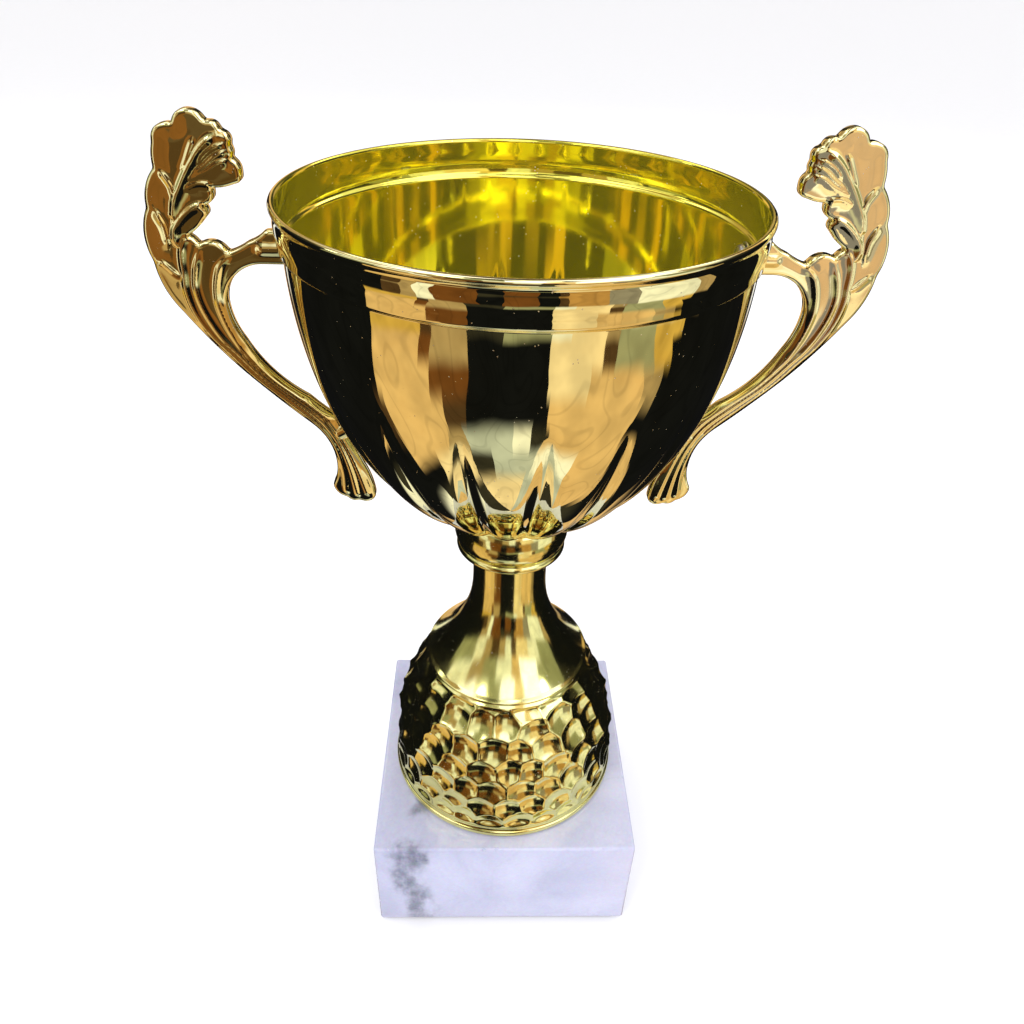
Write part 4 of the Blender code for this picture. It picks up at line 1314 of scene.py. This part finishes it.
# The mirrored room, one ring per row from the ceiling down: lowest elevation of the ring, softness of
# that edge, then where each shade starts going round from the back (-180) by the left (-90), the front
# (0) and the right (90).
ROOM = (
    (55, 8.0, ((-180, "dark"), (-150, "gold"), (-120, "white"), (-55, "gold"), (-40, "dark"),
               (-12, "cream"), (12, "dark"), (50, "white"), (125, "gold"), (155, "dark"))),
    (34, 5.0, ((-180, "gold"), (-160, "cream"), (-140, "gold"), (-115, "cream"), (-95, "gold"),
               (-72, "white"), (-50, "cream"), (-30, "olive"), (-10, "white"), (12, "bright"),
               (24, "white"), (80, "gold"), (105, "cream"), (165, "gold"))),
    (18, 5.0, ((-180, "dark"), (-165, "gold"), (-135, "dark"), (-90, "cream"), (-64, "gold"),
               (-42, "olive"), (-20, "cream"), (6, "tan"), (22, "white"), (52, "olive"),
               (84, "dark"), (130, "tan"), (150, "dark"))),
    (0, 4.0, (*WALL_LEFT, (-152, "gold"), (-148, "black"), (-95, "olive"), (-66, "cream"),
              (-48, "gold"), (-34, "umber"), (-20, "gold"), (-6, "cream"), (6, "umber"),
              (16, "bright"), (40, "cream"), (60, "olive"), (84, "black"), (130, "tan"),
              (142, "black"), (160, "gold"), (172, "black"))),
    (-8, 1.5, walled("cream", (-66, "gold"), (-52, "cream"), (-42, "brown"), (-20, "dark"),
                     (-12, "umber"), (3, "dark"), (13, "sienna"), (34, "grey"), (50, "cream"),
                     (80, "gold"), (90, "black"), (146, "cream"))),
    (-21, 1.5, walled("cream", (-66, "umber"), (-58, "gold"), (-51, "cream"), (-42, "brown"),
                      (-20, "black"), (-12, "brown"), (3, "black"), (13, "umber"), (18, "sienna"),
                      (35, "grey"), (50, "cream"), (80, "gold"), (90, "black"), (146, "cream"))),
    (-25, 1.5, walled("gold", (-75, "amber"), (-52, "umber"), (-45, "gold"), (-27, "dark"),
                      (-11, "olive"), (12, "cream"), (20, "bright"), (37, "gold"), (45, "olive"),
                      (64, "amber"), (80, "black"), (146, "gold"))),
    (-32, 3.0, walled("gold", (-75, "tan"), (-52, "brown"), (-45, "gold"), (-27, "black"),
                      (12, "bright"), (37, "umber"), (44, "olive"), (64, "amber"), (74, "black"),
                      (147, "gold"))),
    (-41, 4.0, walled("gold", (-75, "tan"), (-45, "brown"), (-27, "black"), (12, "bright"),
                      (32, "tan"), (60, "gold"), (69, "black"), (147, "gold"))),
    (-52, 4.0, (*WALL_LEFT, (-78, "umber"), (-72, "tan"), (-38, "umber"), (-28, "black"),
                (13, "tan"), (62, "black"), (128, "gold"), *WALL_RIGHT)),
    (-60, 3.0, ((-180, "black"), (-160, "tan"), (-134, "black"), (-74, "tan"), (-40, "gold"),
                (-30, "silver"), (-3, "cream"), (6, "dark"), (15, "tan"), (68, "black"),
                (110, "tan"), (130, "black"))),
    (-70, 4.0, ((-180, "black"), (-150, "tan"), (-120, "black"), (-54, "bright"), (-32, "dark"),
                (-16, "silver"), (13, "cream"), (36, "tan"), (76, "black"), (110, "tan"),
                (130, "dark"))),
    (-90, 4.0, ((-180, "gold"), (-120, "cream"), (-70, "dark"), (-30, "bright"), (8, "silver"),
                (36, "tan"), (70, "dark"), (110, "tan"))),
)

# Below this elevation the shades fan out, by this share per degree.
FAN_BELOW = -25.0
FAN = 0.0075

# Small bright lamps: azimuth, elevation, angular radius, strength.
LAMPS = (
    (-38, 42, 5.0, 5.0), (56, 34, 4.0, 6.0), (12, 62, 6.0, 4.0), (-75, 58, 5.0, 4.0),
    (100, 55, 5.0, 4.0), (150, 40, 5.0, 4.0), (-150, 48, 5.0, 4.0), (-100, 30, 3.0, 4.0),
)
LAMP_HALO = 1.3

# How crooked the room is: degrees of rise, share of a turn, and the scale of both waves.
RISE = 6.0
RISE_WAVES = 3.1
SWAY = 0.03
SWAY_WAVES = 2.2

# The wood in the room: growth rings across a stretched pattern, and the mottling over it.
WOOD_PATTERN = 2.4
WOOD_STRETCH = (1.0, 1.0, 0.35)
WOOD_RINGS = 11.0
WOOD_LINE = 0.16
WOOD_LINE_SHADE = 0.86
MOTTLE_PATTERN = 6.0
MOTTLE_SHADES = (0.84, 1.12)

# What diffuse light and the camera see of the world.
STUDIO_LIGHT = (1.05, 1.05, 1.06)
STUDIO_WHITE = (1.0, 1.0, 1.0)


def ring_colour(sh, turn, ring):
    """The shades of one ring of the room as a stepped ramp over the azimuth."""
    stops = []
    for start, shade in ring:
        colour = SHADES[shade]
        stops.append(((start + 180) / 360, tuple(c / t for c, t in zip(colour, GOLD_OUTSIDE))))
    return sh.ramp(turn, stops, "CONSTANT")


def make_room():
    """The world: plain studio white for the eye and for diffuse light, a furnished room for mirrors."""
    world = bpy.data.worlds.new("room")
    bpy.context.scene.world = world
    sh = Shader(world)
    ray = sh.node("ShaderNodeTexCoord").outputs["Generated"]
    x, y, z = sh.split(ray)
    sway = sh.math("SUBTRACT", sh.noise(ray, SWAY_WAVES), 0.5)
    lift = sh.math("SUBTRACT", sh.noise(ray, RISE_WAVES), 0.5)
    turn = sh.math("ARCTAN2", x, sh.math("MULTIPLY", y, -1.0))
    level = sh.math("MULTIPLY", sh.math("ARCSINE", z), 180 / math.pi)
    level = sh.plus(level, (lift, RISE))
    under = sh.math("MAXIMUM", sh.math("SUBTRACT", FAN_BELOW, level), 0.0)
    spread = sh.plus(1.0, (under, FAN))
    turn = sh.math("DIVIDE", sh.math("DIVIDE", turn, 2 * math.pi), spread)
    turn = sh.math("ADD", sh.plus(turn, (sway, SWAY)), 0.5)
    colour = ring_colour(sh, turn, ROOM[0][2])
    for (edge, soft, _), (_, _, ring) in zip(ROOM, ROOM[1:]):
        below = sh.step(level, edge + soft, edge - soft)
        colour = sh.mix(below, colour, ring_colour(sh, turn, ring))
    grain = sh.noise(sh.vector("MULTIPLY", ray, WOOD_STRETCH), WOOD_PATTERN, 1.0, 0.5, 0.5)
    grain = sh.math("FRACT", sh.math("MULTIPLY", grain, WOOD_RINGS))
    grain = sh.step(sh.math("ABSOLUTE", sh.math("SUBTRACT", grain, 0.5)), 0.0, WOOD_LINE)
    mottle = sh.step(sh.noise(ray, MOTTLE_PATTERN), 0.25, 0.75, *MOTTLE_SHADES)
    wood = sh.math("MULTIPLY", sh.step(grain, 0.0, 1.0, WOOD_LINE_SHADE, 1.0), mottle)
    colour = sh.mix(1.0, colour, sh.join(wood, wood, wood), "MULTIPLY")
    for azimuth, elevation, radius, strength in LAMPS:
        a, e = math.radians(azimuth), math.radians(elevation)
        aim = (math.cos(e) * math.sin(a), -math.cos(e) * math.cos(a), math.sin(e))
        near = sh.vector("DOT_PRODUCT", ray, aim)
        halo = math.cos(math.radians(radius * LAMP_HALO))
        lamp = sh.step(near, halo, math.cos(math.radians(radius)))
        colour = sh.mix(lamp, colour, (strength, strength, 0.9 * strength))
    path = sh.node("ShaderNodeLightPath")
    seen = sh.mix(path.outputs["Is Camera Ray"], STUDIO_LIGHT, STUDIO_WHITE)
    seen = sh.mix(path.outputs["Is Glossy Ray"], seen, colour)
    sh.feed(seen, sh.tree.nodes["Background"].inputs["Color"])
    world.cycles.sampling_method = "NONE"


gold = gold_sheet()
plated = gold_plastic("gold_plated_plastic", *RISER_GOLD)
leaf_gold = gold_plastic("gold_plated_leaf", *LEAF_GOLD)
zinc = zinc_steel()

make_bowl(gold)
make_riser(plated)
make_collar(plated)
make_handles(leaf_gold)
make_block(white_marble())
make_felt(green_felt())
make_rod(zinc)
for end in ("base", "bowl"):
    make_plate_washer(end + "_plate_washer", end + "_washer", zinc)
    make_lock_washer(end + "_spring_washer", end + "_lock_washer", zinc)
    make_nut(end + "_hex_nut", end + "_nut", zinc)
make_screws(zinc)

make_floor()
make_camera()
make_room()
for card in CARDS:
    reflector_card(*card)
for softbox in SOFTBOXES:
    soft_light(*softbox)
bpy.context.scene.view_settings.view_transform = "Standard"
